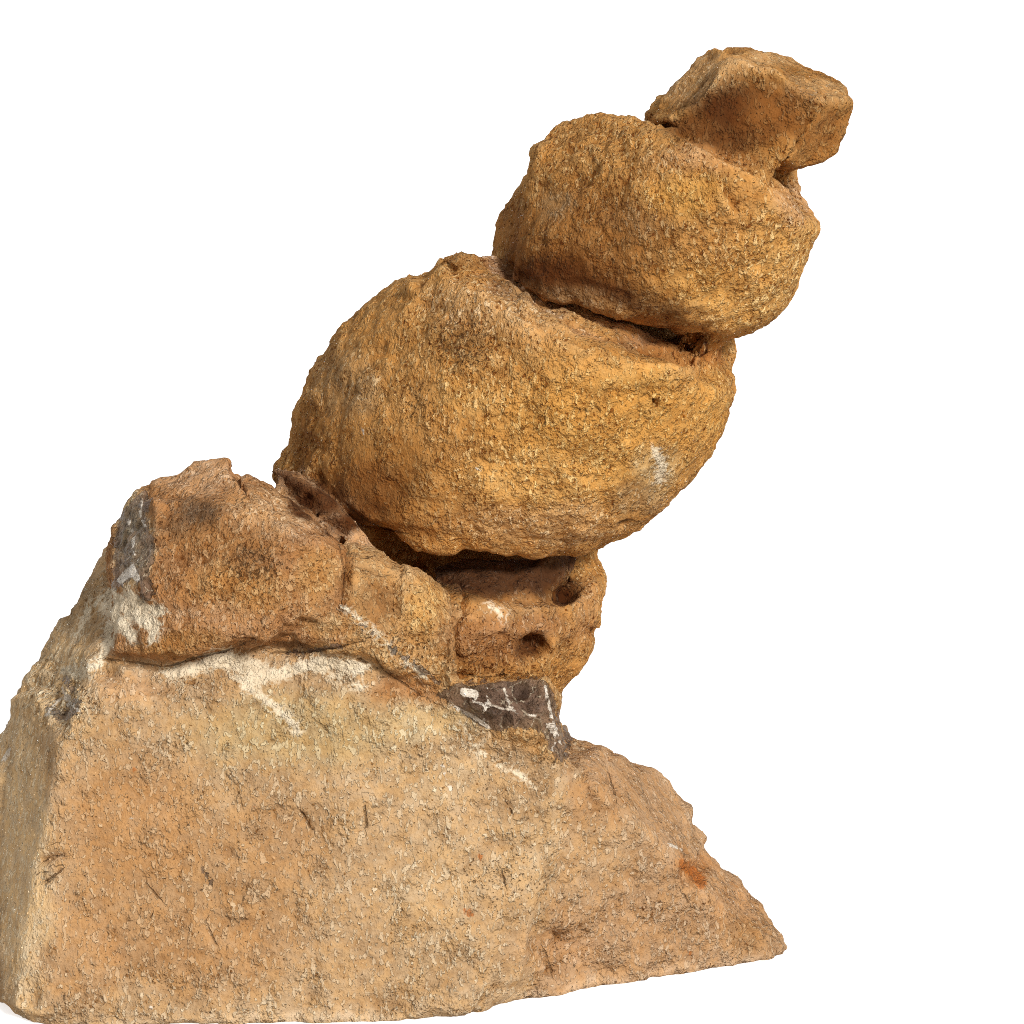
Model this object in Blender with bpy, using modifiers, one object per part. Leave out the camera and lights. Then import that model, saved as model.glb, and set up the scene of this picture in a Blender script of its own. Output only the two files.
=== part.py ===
"""Internal mould of a large turret snail, standing out of the block of matrix it was found in.

One natural piece: four whorls of stone that filled a coiled shell, the broken crust round the
lowest whorl, and the matrix block under it, all one rock. Units are metres, +Z is up, -Y is
the front, and the block rests on its flat base at z = 0. Sizes and places in the constants
are in millimetres.
"""

import bmesh
import bpy
from math import cos, pi, radians, sin
from mathutils import Vector, noise

NAME = "turritella_fossil"
MM = 0.001

# The coil. Each turn is WHORL_RATIO times as large as the one above it, all inside one cone.
CONE_TIP = Vector((127.2, -27.8, 238.7))  # where the missing tip of the shell would end
AXIS_LEAN = radians(39)  # of the shell's axis to the right, seen from the front
AXIS_FORWARD = radians(18)  # of the shell's axis towards the viewer
VIEW_DOWN = radians(10)  # the line of sight that the two angles above are seen along
WHORL_RATIO = 1.28
TURN_ZERO_BELOW_TIP = 81.2  # along the axis
RADIUS_PER_HEIGHT = 0.19  # whorl radius over distance below the tip
TUBE_INNER = 0.25  # the tube's inner side, as a share of the whorl radius
FIRST_TURN = 1.2
LAST_TURN = 4.5
RINGS_PER_TURN = 48

# How the whorl swells and rises on its way, in shares of the whorl radius. A whole turn is at
# the right, a quarter later at the front, and a half later at the left.
#   (turn, rise, outer side, upper height, lower height)
SWELLINGS = (
    (1.20, 0.00, 0.95, 0.45, 0.42),
    (1.50, 0.05, 0.60, 0.45, 0.45),
    (1.75, 0.10, 0.75, 0.55, 0.55),
    (2.00, 0.16, 0.93, 0.48, 0.66),
    (2.25, 0.30, 0.98, 0.66, 0.64),
    (2.50, 0.24, 0.77, 0.68, 0.58),
    (2.75, 0.08, 0.82, 0.60, 0.60),
    (3.00, 0.08, 0.96, 0.60, 0.70),
    (3.25, 0.12, 0.98, 0.76, 0.67),
    (3.50, 0.05, 0.87, 0.76, 0.66),
    (3.75, 0.00, 0.86, 0.58, 0.60),
    (4.00, 0.00, 0.88, 0.58, 0.70),
    (4.25, 0.00, 0.92, 0.58, 0.60),
    (4.50, -0.10, 0.88, 0.45, 0.60),
)

# The tube's section: (inner to outer side, share of the upper or lower height). The upper side
# falls away towards the axis, as a channel round the foot of the whorl above.
SECTION = (
    (1.00, 0.00),
    (0.94, 0.66),
    (0.70, 1.00),
    (0.42, 0.80),
    (0.06, 0.60),
    (0.00, -0.20),
    (0.20, -0.85),
    (0.60, -1.00),
    (0.92, -0.62),
)
SECTION_POINTS = 36

# The rocks, each the convex hull of its corners. They reach down past the flat base to FOOT.
FOOT = -2
BLOCK = (
    (-61, -48, FOOT), (-68.5, -40, FOOT), (-78, -12, FOOT), (8.5, -43, FOOT), (21.5, -33, FOOT),
    (-55, -41, 50), (-50.5, -37, 60.5), (-6, -37.5, 62), (10, -37, 51), (30, -34, 42),
    (-53, -5, 75), (-64.5, -5, 57.5), (-71, -8, 45), (-76, -10, 33), (-78, -10, 18),
    (-62, 34, FOOT), (-30, 48, FOOT), (22, 44, FOOT), (-50, 28, 48), (-18, 34, 52),
    (22, 28, 36), (31, 2, 39),
)  # fmt: skip
TOE = (
    (21.5, -33, FOOT), (30.5, -26, FOOT), (40, -20, FOOT), (50, -19, FOOT), (60, -14, FOOT),
    (67, -8, 1), (65, 8, 4), (55.5, 8, 14), (53.5, 6, 20), (51.5, 2, 25), (46, 0, 31), (38, 0, 36),
    (30, -2, 39.5), (30, -34, 42), (42, -25, 25.5), (54, -15, 12.5), (60, 20, FOOT),
    (32, 42, FOOT), (8, 46, FOOT), (10, 28, 34),
)  # fmt: skip
DOME = (
    (-51, -18, 77.5), (-49.5, -22, 82.5), (-46, -22, 86.5), (-39, -22, 90.8), (-32, -22, 93.3),
    (-29, -26, 93), (-24, -28, 91.5), (-18.5, -30, 88), (-9, -34, 80.5), (-9, -42, 72.5),
    (-8, -43, 66), (-16, -44, 65), (-27.5, -45, 64.5), (-37.5, -44, 62), (-48, -38, 63),
    (-26.5, -37, 86.5), (-21, -42, 82.5), (-16, -42, 82.5), (-45, -34, 78), (-40, -34, 86),
    (-35.5, -45, 73), (-39, 5, 60), (-52, 5, 60), (-29, 2, 84), (-40, 0, 84),
)  # fmt: skip
SLAB = (
    (-8.5, -30, 79.5), (-5, -31, 80), (5, -33, 75), (10, -34, 71), (9.5, -38, 65), (9.5, -40, 55),
    (-8.5, -43, 66), (-8, -40, 75.5), (7, -37, 70), (-9, -15, 77), (6.5, -18, 69.5), (8, -15, 50),
)  # fmt: skip
SHELL_CHUNK = (
    (7, -40, 57), (11, -38, 58), (17, -36, 58), (24.5, -33, 57), (27, -32, 53), (29, -32, 45),
    (28.5, -35, 43), (20.5, -40, 48), (15.5, -41, 50), (10.5, -42, 54), (11.5, -15, 50),
    (27.5, -12, 50), (28.5, -12, 41),
)  # fmt: skip
WEDGE = (
    (-23, -18, 90.5), (-19, -25, 91), (-15, -28, 91), (-9, -32, 82.5), (-8.5, -32, 79.5),
    (-17, -30, 80.5), (-21.5, -22, 86), (-18.5, -5, 88.5), (-11, -5, 77.5),
)  # fmt: skip
TOP_LUMP = (
    (43, -14, 150), (43.5, -12, 153), (46, -8, 155.7), (50, -4, 158.6), (58, 2, 162.5),
    (64.5, 4, 162), (70, 4, 159.7), (76.5, 2, 156), (78, -4, 153.5), (77, -10, 149.5),
    (75, -14, 145.3), (69, -16, 141.7), (66.5, -16, 140.5), (48.5, -22, 154.6), (52.5, -25, 155.4),
    (56.3, -20, 159.6), (64.4, -18, 158), (70.6, -16, 155.7), (50.5, -26, 147.5),
    (60.5, -26, 143.5), (56.7, -28, 152.5), (52, 8, 154), (68, 12, 152), (66, 8, 142.5),
)  # fmt: skip
ROCKS = (BLOCK, TOE, DOME, SLAB, SHELL_CHUNK, WEDGE, TOP_LUMP)

# Where the surface bulges, or is dented where the height is below zero: (place, reach, height).
LUMPS = (
    ((28, -6, 144), 15, 3.8),  # shoulder of the second whorl
    ((21, 5, 134), 12, 2.2),
    ((37, -3, 148), 10, -1.4),
    ((-10, 0, 112), 16, 1.2),  # shoulder of the third whorl
    ((4, 0, 124), 10, -0.8),
    ((12, -9, 125.5), 7, 0.9),
    ((49, -6, 86), 18, 1.2),
    ((44.5, 1.5, 150.5), 8, 1.2),
    ((30, 5, 52), 11, 3.0),  # foot of the fourth whorl
    ((29.5, 0, 66.5), 6, -1.8),
    ((23, -15, 58), 5, -2.2),
    ((-66, -6, 54), 12, 0.8),  # left shoulder of the block
    ((-30, -38, 59), 14, -1.0),  # hollow under the dome
    ((33, -27, 4), 9, -1.2),
)

FUSE_CELL = 1.4  # the rocks and the coil are fused on a grid this fine
FACES = 8000
ROUGH_SIZE = 14.0  # of the swells of the broken surface
ROUGH_HEIGHT = 0.9

STONE_COLOUR = (0.40, 0.23, 0.10, 1.0)
STONE_ROUGHNESS = 0.9


def axis_frame():
    """The coil's axis, and the two directions square to it that point right and back."""
    sight = Vector((0, cos(VIEW_DOWN), -sin(VIEW_DOWN)))
    upright = Vector((0, sin(VIEW_DOWN), cos(VIEW_DOWN)))
    right = Vector((1, 0, 0))
    across = right * sin(AXIS_LEAN) + upright * cos(AXIS_LEAN)
    axis = across * cos(AXIS_FORWARD) - sight * sin(AXIS_FORWARD)
    outward = (right - axis * right.dot(axis)).normalized()
    return axis, outward, axis.cross(outward)


def smooth_between(before, start, end, after, part):
    """The value part of the way from start to end on a curve through all four."""
    slope_in = (end - before) / 2
    slope_out = (after - start) / 2
    bend = 3 * (end - start) - 2 * slope_in - slope_out
    twist = 2 * (start - end) + slope_in + slope_out
    return start + part * (slope_in + part * (bend + part * twist))


def section_points():
    """The closed section, smoothed."""
    count = len(SECTION)
    points = []
    for index in range(SECTION_POINTS):
        place = index * count / SECTION_POINTS
        corner = int(place)
        four = [SECTION[(corner + step) % count] for step in (-1, 0, 1, 2)]
        points.append([smooth_between(*values, place - corner) for values in zip(*four)])
    return points


def swelling(turn):
    """Rise, outer side, upper and lower height at this turn."""
    last = len(SWELLINGS) - 1
    index = max(i for i in range(last) if SWELLINGS[i][0] <= turn + 1e-9)
    four = [SWELLINGS[min(max(index + step, 0), last)] for step in (-1, 0, 1, 2)]
    part = (turn - four[1][0]) / (four[2][0] - four[1][0])
    return [smooth_between(*values, part) for values in list(zip(*four))[1:]]


def coil_mesh():
    """The coiled tube: a loft between sections that grow and change along a helix."""
    axis, outward, backward = axis_frame()
    section = section_points()
    steps = round((LAST_TURN - FIRST_TURN) * RINGS_PER_TURN)
    mesh = bmesh.new()
    rings = []
    for step in range(steps + 1):
        turn = FIRST_TURN + (LAST_TURN - FIRST_TURN) * step / steps
        rise, outer, upper, lower = swelling(turn)
        below_tip = TURN_ZERO_BELOW_TIP * WHORL_RATIO**turn
        radius = RADIUS_PER_HEIGHT * below_tip
        angle = -2 * pi * turn
        ray = outward * cos(angle) + backward * sin(angle)
        centre = CONE_TIP + axis * (radius * rise - below_tip)
        ring = []
        for across, height in section:
            reach = TUBE_INNER + (outer - TUBE_INNER) * across
            lift = height * (upper if height > 0 else lower)
            ring.append(mesh.verts.new(centre + ray * (radius * reach) + axis * (radius * lift)))
        rings.append(ring)
    for ring, after in zip(rings, rings[1:]):
        for i in range(SECTION_POINTS):
            j = (i + 1) % SECTION_POINTS
            mesh.faces.new((ring[i], ring[j], after[j], after[i]))
    mesh.faces.new(rings[0][::-1])
    mesh.faces.new(rings[-1])
    bmesh.ops.recalc_face_normals(mesh, faces=mesh.faces)
    return mesh


def hull_mesh(corners):
    """The convex hull of a rock's corners."""
    mesh = bmesh.new()
    for corner in corners:
        mesh.verts.new(corner)
    hull = bmesh.ops.convex_hull(mesh, input=mesh.verts)
    inside = [piece for piece in hull["geom_interior"] if isinstance(piece, bmesh.types.BMVert)]
    bmesh.ops.delete(mesh, geom=inside, context="VERTS")
    bmesh.ops.recalc_face_normals(mesh, faces=mesh.faces)
    return mesh


def joined(meshes):
    """One mesh object that holds all of the given meshes, in metres."""
    data = bpy.data.meshes.new(NAME)
    whole = bmesh.new()
    for mesh in meshes:
        mesh.to_mesh(data)
        whole.from_mesh(data)
        mesh.free()
    bmesh.ops.scale(whole, vec=(MM, MM, MM), verts=whole.verts)
    whole.to_mesh(data)
    whole.free()
    return bpy.data.objects.new(NAME, data)


def apply_modifier(obj, kind, **settings):
    """The object's mesh as this modifier leaves it."""
    modifier = obj.modifiers.new(kind.title(), kind)
    for key, value in settings.items():
        setattr(modifier, key, value)
    graph = bpy.context.evaluated_depsgraph_get()
    data = bpy.data.meshes.new_from_object(obj.evaluated_get(graph))
    obj.modifiers.clear()
    obj.data = data
    data.name = NAME


def islands(mesh):
    """The faces of each body of the mesh that hangs together."""
    left = set(mesh.faces)
    while left:
        found = set()
        edge = [left.pop()]
        while edge:
            face = edge.pop()
            found.add(face)
            near = {other for line in face.edges for other in line.link_faces} & left
            left -= near
            edge.extend(near)
        yield found


def roughen(mesh):
    """Low swells all over, as broken and weathered stone has."""
    for vert in mesh.verts:
        place = vert.co / MM
        swell = noise.fractal(place / ROUGH_SIZE, 1.0, 2.0, 2)
        vert.co += vert.normal * (ROUGH_HEIGHT * MM * swell)


def raise_lumps(mesh):
    """Pushes the surface out or in round each place, most at the place itself."""
    for place, reach, height in LUMPS:
        centre = Vector(place) * MM
        for vert in mesh.verts:
            near = 1 - (vert.co - centre).length_squared / (reach * MM) ** 2
            if near > 0:
                vert.co += vert.normal * (height * MM * near * near)


def cut_base(mesh):
    """Cuts everything below z = 0 away and closes the cut."""
    whole = mesh.verts[:] + mesh.edges[:] + mesh.faces[:]
    cut = bmesh.ops.bisect_plane(
        mesh, geom=whole, dist=1e-6, plane_co=(0, 0, 0), plane_no=(0, 0, 1), clear_inner=True
    )
    rim = [piece for piece in cut["geom_cut"] if isinstance(piece, bmesh.types.BMEdge)]
    bmesh.ops.contextual_create(mesh, geom=rim)
    bmesh.ops.triangulate(mesh, faces=mesh.faces)


def stone_material():
    material = bpy.data.materials.new("ochre_stone")
    material.use_nodes = True
    surface = material.node_tree.nodes["Principled BSDF"]
    surface.inputs["Base Color"].default_value = STONE_COLOUR
    surface.inputs["Roughness"].default_value = STONE_ROUGHNESS
    surface.inputs["Metallic"].default_value = 0.0
    return material


def main():
    for old in list(bpy.data.objects):
        bpy.data.objects.remove(old)
    fossil = joined([coil_mesh()] + [hull_mesh(corners) for corners in ROCKS])
    collection = bpy.data.collections.new(NAME)
    bpy.context.scene.collection.children.link(collection)
    collection.objects.link(fossil)
    apply_modifier(fossil, "REMESH", mode="VOXEL", voxel_size=FUSE_CELL * MM)

    mesh = bmesh.new()
    mesh.from_mesh(fossil.data)
    outer = max(islands(mesh), key=len)
    bmesh.ops.delete(mesh, geom=[face for face in mesh.faces if face not in outer], context="FACES")
    mesh.normal_update()
    raise_lumps(mesh)
    roughen(mesh)
    cut_base(mesh)
    faces_now = len(mesh.faces)
    mesh.to_mesh(fossil.data)
    mesh.free()
    apply_modifier(fossil, "DECIMATE", ratio=FACES / faces_now)
    fossil.data.materials.append(stone_material())
    fossil.data.shade_smooth()


if __name__ == "__main__":
    main()
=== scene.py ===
"""Internal mould of a large turret snail, standing out of the block of rock it was found in.

Laid out as a Blender add-on and run as a script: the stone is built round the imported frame,
weathered and tinted, then strewn with grains, lit and looked at from the front.

Sizes and places are in millimetres unless a name says otherwise. Marks on the front are given
in sheet points: where a line from EYE to the mark meets an upright sheet of 1024 x 1024 points,
counted from its upper left corner. A sheet point is 0.18 mm at the middle of the fossil.
"""

from math import cos, pi, radians, sin

import bmesh
import bpy
import numpy as np
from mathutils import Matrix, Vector, noise
from mathutils.bvhtree import BVHTree


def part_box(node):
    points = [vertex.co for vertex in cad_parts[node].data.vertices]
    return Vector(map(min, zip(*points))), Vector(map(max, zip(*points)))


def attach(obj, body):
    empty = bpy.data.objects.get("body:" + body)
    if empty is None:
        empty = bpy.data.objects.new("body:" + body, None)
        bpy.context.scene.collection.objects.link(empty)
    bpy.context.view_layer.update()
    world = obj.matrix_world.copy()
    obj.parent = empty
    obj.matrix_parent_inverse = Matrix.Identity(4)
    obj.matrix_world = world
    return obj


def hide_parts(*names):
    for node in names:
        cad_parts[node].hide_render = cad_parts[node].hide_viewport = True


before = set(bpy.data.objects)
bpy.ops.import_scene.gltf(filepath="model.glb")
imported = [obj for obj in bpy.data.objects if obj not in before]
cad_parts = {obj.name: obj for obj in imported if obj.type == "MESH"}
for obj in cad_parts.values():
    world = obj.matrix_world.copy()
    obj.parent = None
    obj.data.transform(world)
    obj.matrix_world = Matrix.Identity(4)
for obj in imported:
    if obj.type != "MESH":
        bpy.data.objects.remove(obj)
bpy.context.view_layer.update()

bl_info = {
    "name": "Turret snail fossil",
    "version": (1, 0, 0),
    "blender": (4, 5, 0),
    "location": "3D View > Sidebar > Fossil",
    "description": "Builds a turret snail mould in its block of rock, its grains and its stage",
    "category": "Add Mesh",
}

NODE = "turritella_fossil"
MM = 0.001
CURVE_MARGIN = 0.1  # room above and below the values of a curve, which its smoothing may use

# --- Where the front is looked at from ------------------------------------------------------

EYE = np.array((19.0, -492.404, 166.824))
VIEW_DOWN = radians(10)
SIGHT = np.array((0.0, cos(VIEW_DOWN), -sin(VIEW_DOWN)))
UPRIGHT = np.array((0.0, sin(VIEW_DOWN), cos(VIEW_DOWN)))
SHEET_POINTS = 1024
SHEET_AWAY = 2777.8  # sheet points from the eye to the sheet
POINT = 0.18  # one sheet point at the middle of the fossil
SENSOR = 36.0
LENS = SHEET_AWAY * SENSOR / SHEET_POINTS

# --- The coil, as the solid has it ----------------------------------------------------------

CONE_TIP = Vector((127.2, -27.8, 238.7))
AXIS_LEAN = radians(39)
AXIS_FORWARD = radians(18)
TURN_ZERO_BELOW_TIP = 81.2
FIRST_TURN = 1.2
LAST_TURN = 4.5
RINGS_PER_TURN = 96
SECTION_POINTS = 72

# fmt: off
# (turn, rise, outer side, upper height, lower height), in shares of the whorl radius
SWELLINGS = (
    (1.20, 0.00, 0.95, 0.45, 0.42), (1.50, 0.05, 0.60, 0.45, 0.45),
    (1.75, 0.10, 0.75, 0.55, 0.55), (2.00, 0.10, 0.93, 0.48, 0.66),
    (2.25, 0.30, 0.98, 0.66, 0.64), (2.50, 0.24, 0.77, 0.62, 0.58),
    (2.75, 0.08, 0.82, 0.60, 0.60), (3.00, 0.08, 0.96, 0.60, 0.60),
    (3.25, 0.12, 0.98, 0.76, 0.65), (3.50, 0.05, 0.87, 0.76, 0.74),
    (3.75, 0.00, 0.86, 0.58, 0.60), (4.00, 0.00, 0.88, 0.58, 0.70),
    (4.25, 0.00, 0.92, 0.58, 0.60), (4.50, -0.10, 0.88, 0.45, 0.60),
)

# The whorl's section, once round: (across, height), from the inner side to the outer
SECTION = (
    (1.00, 0.00), (0.94, 0.66), (0.70, 1.00), (0.42, 0.80), (0.06, 0.60), (0.00, -0.20),
    (0.20, -0.85), (0.60, -1.00), (0.92, -0.62),
)

# --- The rocks, each the convex hull of its corners -----------------------------------------

FOOT = -2
ROCKS = {
    "block": (
        (-61, -48, FOOT), (-68.5, -40, FOOT), (-78, -12, FOOT), (8.5, -43, FOOT),
        (21.5, -33, FOOT), (-55, -41, 50), (-50.5, -37, 60.5), (-6, -37.5, 62), (10, -37, 51),
        (30, -34, 42), (-53, -5, 75), (-64.5, -5, 57.5), (-71, -8, 45), (-76, -10, 33),
        (-78, -10, 18), (-62, 34, FOOT), (-30, 48, FOOT), (22, 44, FOOT), (-50, 28, 48),
        (-18, 34, 52), (22, 28, 36), (31, 2, 39),
    ),
    "toe": (
        (21.5, -33, FOOT), (30.5, -26, FOOT), (40, -20, FOOT), (50, -19, FOOT), (60, -14, FOOT),
        (67, -8, 1), (65, 8, 4), (55.5, 8, 14), (53.5, 6, 20), (51.5, 2, 25), (46, 0, 31),
        (38, 0, 36), (30, -2, 39.5), (30, -34, 42), (42, -25, 25.5), (54, -15, 12.5),
        (60, 20, FOOT), (32, 42, FOOT), (8, 46, FOOT), (10, 28, 34),
    ),
    "dome": (
        (-51, -18, 77.5), (-49.5, -22, 82.5), (-46, -22, 86.5), (-39, -22, 89.8),
        (-32, -22, 90.8), (-24.6, -28, 91.8), (-18.5, -30, 88), (-9, -34, 80.5),
        (-9, -42, 72.5), (-8, -43, 66), (-16, -44, 65), (-27.5, -45, 64.5), (-37.5, -44, 62),
        (-48, -38, 63), (-26.5, -37, 86.5), (-21, -42, 82.5), (-16, -42, 82.5), (-45, -34, 78),
        (-40, -34, 86), (-35.5, -45, 73), (-39, 5, 60), (-52, 5, 60), (-29, 2, 84),
        (-40, 0, 84),
    ),
    "crest": (
        (-46, -22, 86.6), (-39, -22, 90.8), (-34.5, -22, 93), (-28.9, -23, 94.2),
        (-28.9, -27, 93.2), (-28.8, -32, 86), (-28.8, -14, 88), (-40, -12, 86), (-40, -30, 87),
    ),
    "joint": (
        (-12, -40.8, 68.5), (-5, -41, 69), (-12, -41.6, 63), (-4, -42.3, 63.5), (-17, -30, 69),
        (-5, -30, 69), (-5, -30, 63), (-17, -30, 63),
    ),
    "slab": (
        (-8.5, -30, 79.5), (-5, -31, 80), (5, -33, 75), (10, -34, 71), (9.5, -38, 65),
        (9.5, -40, 55), (-8.5, -43, 66), (-8, -40, 75.5), (7, -37, 70), (-9, -15, 77),
        (6.5, -18, 69.5), (8, -15, 50), (-14, -24, 75), (-13, -14, 76),
    ),
    "shell chunk": (
        (7, -40, 57), (11, -38, 58), (17, -36, 58), (24.5, -33, 57), (27, -32, 53),
        (29, -32, 45), (28.5, -35, 43), (20.5, -40, 48), (15.5, -41, 50), (10.5, -42, 54),
        (11.5, -15, 50), (27.5, -12, 50), (28.5, -12, 41),
    ),
    "wedge": (
        (-23.5, -14, 90.8), (-20, -17, 90), (-15, -20, 88), (-9, -25, 82), (-8.5, -28, 79.5),
        (-17, -26, 80.5), (-21.5, -22, 86), (-18.5, -5, 88.5), (-11, -5, 77.5), (-6, -27, 80),
        (-5, -24, 78),
    ),
    "top lump": (
        (43, -14, 150), (43.5, -12, 153), (46, -8, 155.7), (50, -4, 158.6), (58, 2, 162.5),
        (64.5, 4, 162), (70, 4, 159.7), (76.5, 2, 156), (78, -4, 153.5), (77, -10, 149.5),
        (75, -14, 145.3), (69, -16, 141.7), (66.5, -16, 140.5), (48.5, -22, 154.6),
        (52.5, -25, 155.4), (56.3, -20, 159.6), (64.4, -18, 158), (70.6, -16, 155.7),
        (50.5, -26, 147.5), (60.5, -26, 143.5), (56.7, -28, 152.5), (52, 8, 154), (68, 12, 152),
        (66, 8, 142.5),
    ),
    "saddle": (
        (10, -16, 122.8), (14, -5, 127), (16, -9, 125), (20, -12, 123.4), (24, -15, 121.8),
        (28, -16, 120), (33, -16.5, 117.4), (38, -15.5, 115), (43, -14, 113), (12, -22, 120.3),
        (17, -26.5, 118.2), (24, -29, 115.6), (31, -29.5, 113.8), (38, -26.5, 112.6),
        (12, -5, 120), (20, -4, 115), (40, -4, 111),
    ),
    "channel": (
        (35, -24, 112.5), (43, -23, 111), (48, -20, 109.8), (52, -15, 108.8), (56, -8, 108),
        (38, -6, 114), (46, -5, 112.6), (52, -4, 111.6), (57, -2, 110.5), (40, 0, 106),
        (54, 0, 104),
    ),
    "trough": (
        (6, -16, 69.5), (9, -20, 68.3), (12.6, -17.5, 67.4), (17, -17, 66.5),
        (21.3, -14.5, 65.2), (25.7, -11, 64.4), (30, -5, 63.8), (5, -6, 71.8), (11, -6.5, 72.3),
        (18, -6.5, 72.5), (26, -4, 72), (31.5, 1, 71.5), (10, 2, 62), (30, 2, 62),
    ),
}

# Where the surface bulges, or is dented where the height is below zero: (place, reach, height)
LUMPS = (
    ((28, -6, 144), 15, 3.8), ((21, 5, 134), 12, 2.2), ((37, -3, 148), 10, -1.4),
    ((-10, 0, 112), 16, 1.2), ((4, 0, 124), 10, -0.8), ((12, -9, 125.5), 7, 0.9),
    ((49, -6, 86), 18, 1.2), ((44.5, 1.5, 150.5), 8, 1.2), ((30, 5, 52), 11, 3.0),
    ((29.5, 0, 66.5), 6, -1.8), ((23, -15, 58), 5, -2.2), ((-66, -6, 54), 12, 0.8),
    ((-30, -38, 59), 14, -1.0), ((33, -27, 4), 9, -1.2), ((42.4, -22.6, 114.5), 7, -2.4),
    ((48, -18, 112.3), 8, -3.2), ((52, -14, 111), 7, -2.2),
)

# --- Relief of the front, in sheet points, heights in millimetres ---------------------------

# What lies near a place moves along the sheet, to fit the outline: (x, y, reach, right, down)
MOVES = (
    (826, 195, 60, -12, 0), (780, 318, 60, 8, 4), (592, 104, 46, 2, 7), (433, 262, 44, 6, 8),
    (345, 345, 60, -7, 0), (283, 448, 36, 8, 0), (110, 508, 44, 9, 0), (545, 283, 42, 0, 10),
    (236, 473, 12, 0, 8), (604, 556, 26, -8, 0), (600, 618, 20, 6, 0), (405, 550, 27, 0, 9),
    (92, 578, 34, -9, 0), (632, 760, 26, -12, 0), (700, 832, 24, -8, 0), (545, 130, 26, 8, 0),
    (826, 160, 24, 10, 0), (568, 712, 22, -10, 0), (30, 672, 34, -8, 0), (458, 258, 26, -4, -5),
    (430, 545, 40, 0, 8), (560, 560, 34, 0, -6), (585, 745, 36, -16, 0), (722, 842, 46, -18, 3),
    (757, 950, 50, 20, 5), (735, 370, 30, -6, 0), (560, 708, 26, 4, 4),
)

# Undercuts that rubble fills: (place, reach)
FILLED = (
    ((-36, -38, 61), 7), ((-26, -41, 62), 8), ((-16, -38, 62), 8), ((-7, -37, 61), 8),
    ((-2, -38, 57), 8), ((6, -37, 52), 8), ((13, -37, 48), 8), ((20, -37, 46), 8),
    ((27, -34, 42), 8), ((-9, -34, 78), 5), ((-9, -34, 80), 4), ((46, -23, 149.5), 5),
    ((49, -25.5, 147.5), 5),
)

# Grooves with a dark crack in them: (half width, height, line)
CRACKED = (
    (4, -0.4, ((351, 509), (365, 520), (385, 529), (408, 534))),
    (4, -0.4, ((364, 637), (383, 670), (419, 694))), (4, -0.9, ((303, 813), (311, 828))),
    (3, -0.6, ((365, 806), (367, 827))), (3, -0.6, ((150, 887), (159, 898))),
    (3, -0.6, ((208, 926), (216, 944))), (6, -1.2, ((45, 861), (53, 855), (62, 856))),
    (4, -0.8, ((46, 881), (61, 871))), (5, -1.2, ((609, 775), (616, 796))),
    (3, -0.6, ((683, 893), (688, 902))), (4, -0.6, ((502, 873), (505, 884))),
    (4, -0.7, ((507, 803), (512, 813))), (5, -1.0, ((545, 951), (552, 973))),
)

# Ridges, and grooves where the height is below zero: (half width, height, line)
LINES = (
    *CRACKED,
    (6, 0.8, ((660, 121), (682, 116), (701, 106), (717, 88), (721, 77), (730, 67), (742, 64),
     (757, 70), (772, 70), (790, 85), (800, 98), (812, 104), (846, 114))),
    (7, -1.2, ((680, 132), (706, 148), (731, 157), (762, 180), (792, 181))),
    (5, -1.3, ((721, 180), (729, 196), (735, 207))),
    (7, 0.8, ((713, 171), (721, 196), (733, 220))),
    (2.5, 0.35, ((532, 165), (528, 193), (527, 219), (523, 245), (522, 272))),
    (12, 1.0, ((417, 292), (440, 300), (458, 306), (480, 318), (501, 334), (522, 350),
     (542, 366), (584, 382), (640, 380), (690, 374))),
    (9, 0.7, ((601, 322), (645, 336), (673, 352), (707, 368), (728, 380))),
    (9, 0.8, ((434, 268), (450, 262), (470, 261), (487, 264), (503, 273))),
    (5, -0.9, ((345, 558), (347, 578), (344, 604))),
    (4, -0.7, ((108, 660), (132, 664), (165, 670), (196, 660), (226, 652), (246, 645))),
    (3, -0.5, ((246, 644), (275, 652), (306, 653), (337, 648), (361, 641))),
    (5, 0.3, ((343, 606), (380, 637), (428, 680))),
    (5, -1.5, ((233, 474), (238, 488), (247, 505))),
    (4, -1.2, ((455, 675), (480, 679), (500, 679))),
    (9, 0.9, ((453, 598), (472, 601), (496, 609), (521, 612), (550, 611), (577, 602),
     (592, 588))),
    (3, -0.4, ((110, 694), (119, 724))), (3, -0.5, ((118, 727), (130, 748))),
    (4, -0.5, ((94, 997), (102, 1005))), (3, -0.6, ((584, 872), (586, 880))),
    (4, -0.8, ((556, 931), (561, 941))),
    (5, 0.5, ((576, 758), (594, 794), (621, 818), (650, 850), (672, 871), (690, 905))),
    (7, -2.4, ((270, 474), (292, 488), (318, 510), (344, 537))),
    (5, 0.8, ((371, 548), (400, 562), (430, 578), (456, 592))),
    (4, 0.8, ((456, 592), (457, 606), (450, 625), (449, 655), (450, 683))),
    (5, -1.6, ((463, 596), (465, 612), (457, 630), (457, 662))),
)

# Steps: the side on the left hand, walking along the line, stands out: (height, reach, line)
STEPS = (
    (1.8, 75, ((536, 162), (529, 193), (528, 219), (524, 245), (522, 280))),
    (0.9, 24, ((546, 690), (549, 660), (552, 636))),
    (1.0, 22, ((402, 574), (400, 600), (395, 626))),
    (0.7, 30, ((152, 490), (153, 530), (153, 560), (157, 602))),
    (0.8, 26, ((558, 764), (544, 732), (514, 728), (496, 732), (479, 726), (452, 705),
     (431, 694))),
    (0.5, 16, ((110, 590), (112, 620), (107, 652))),
)

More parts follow.
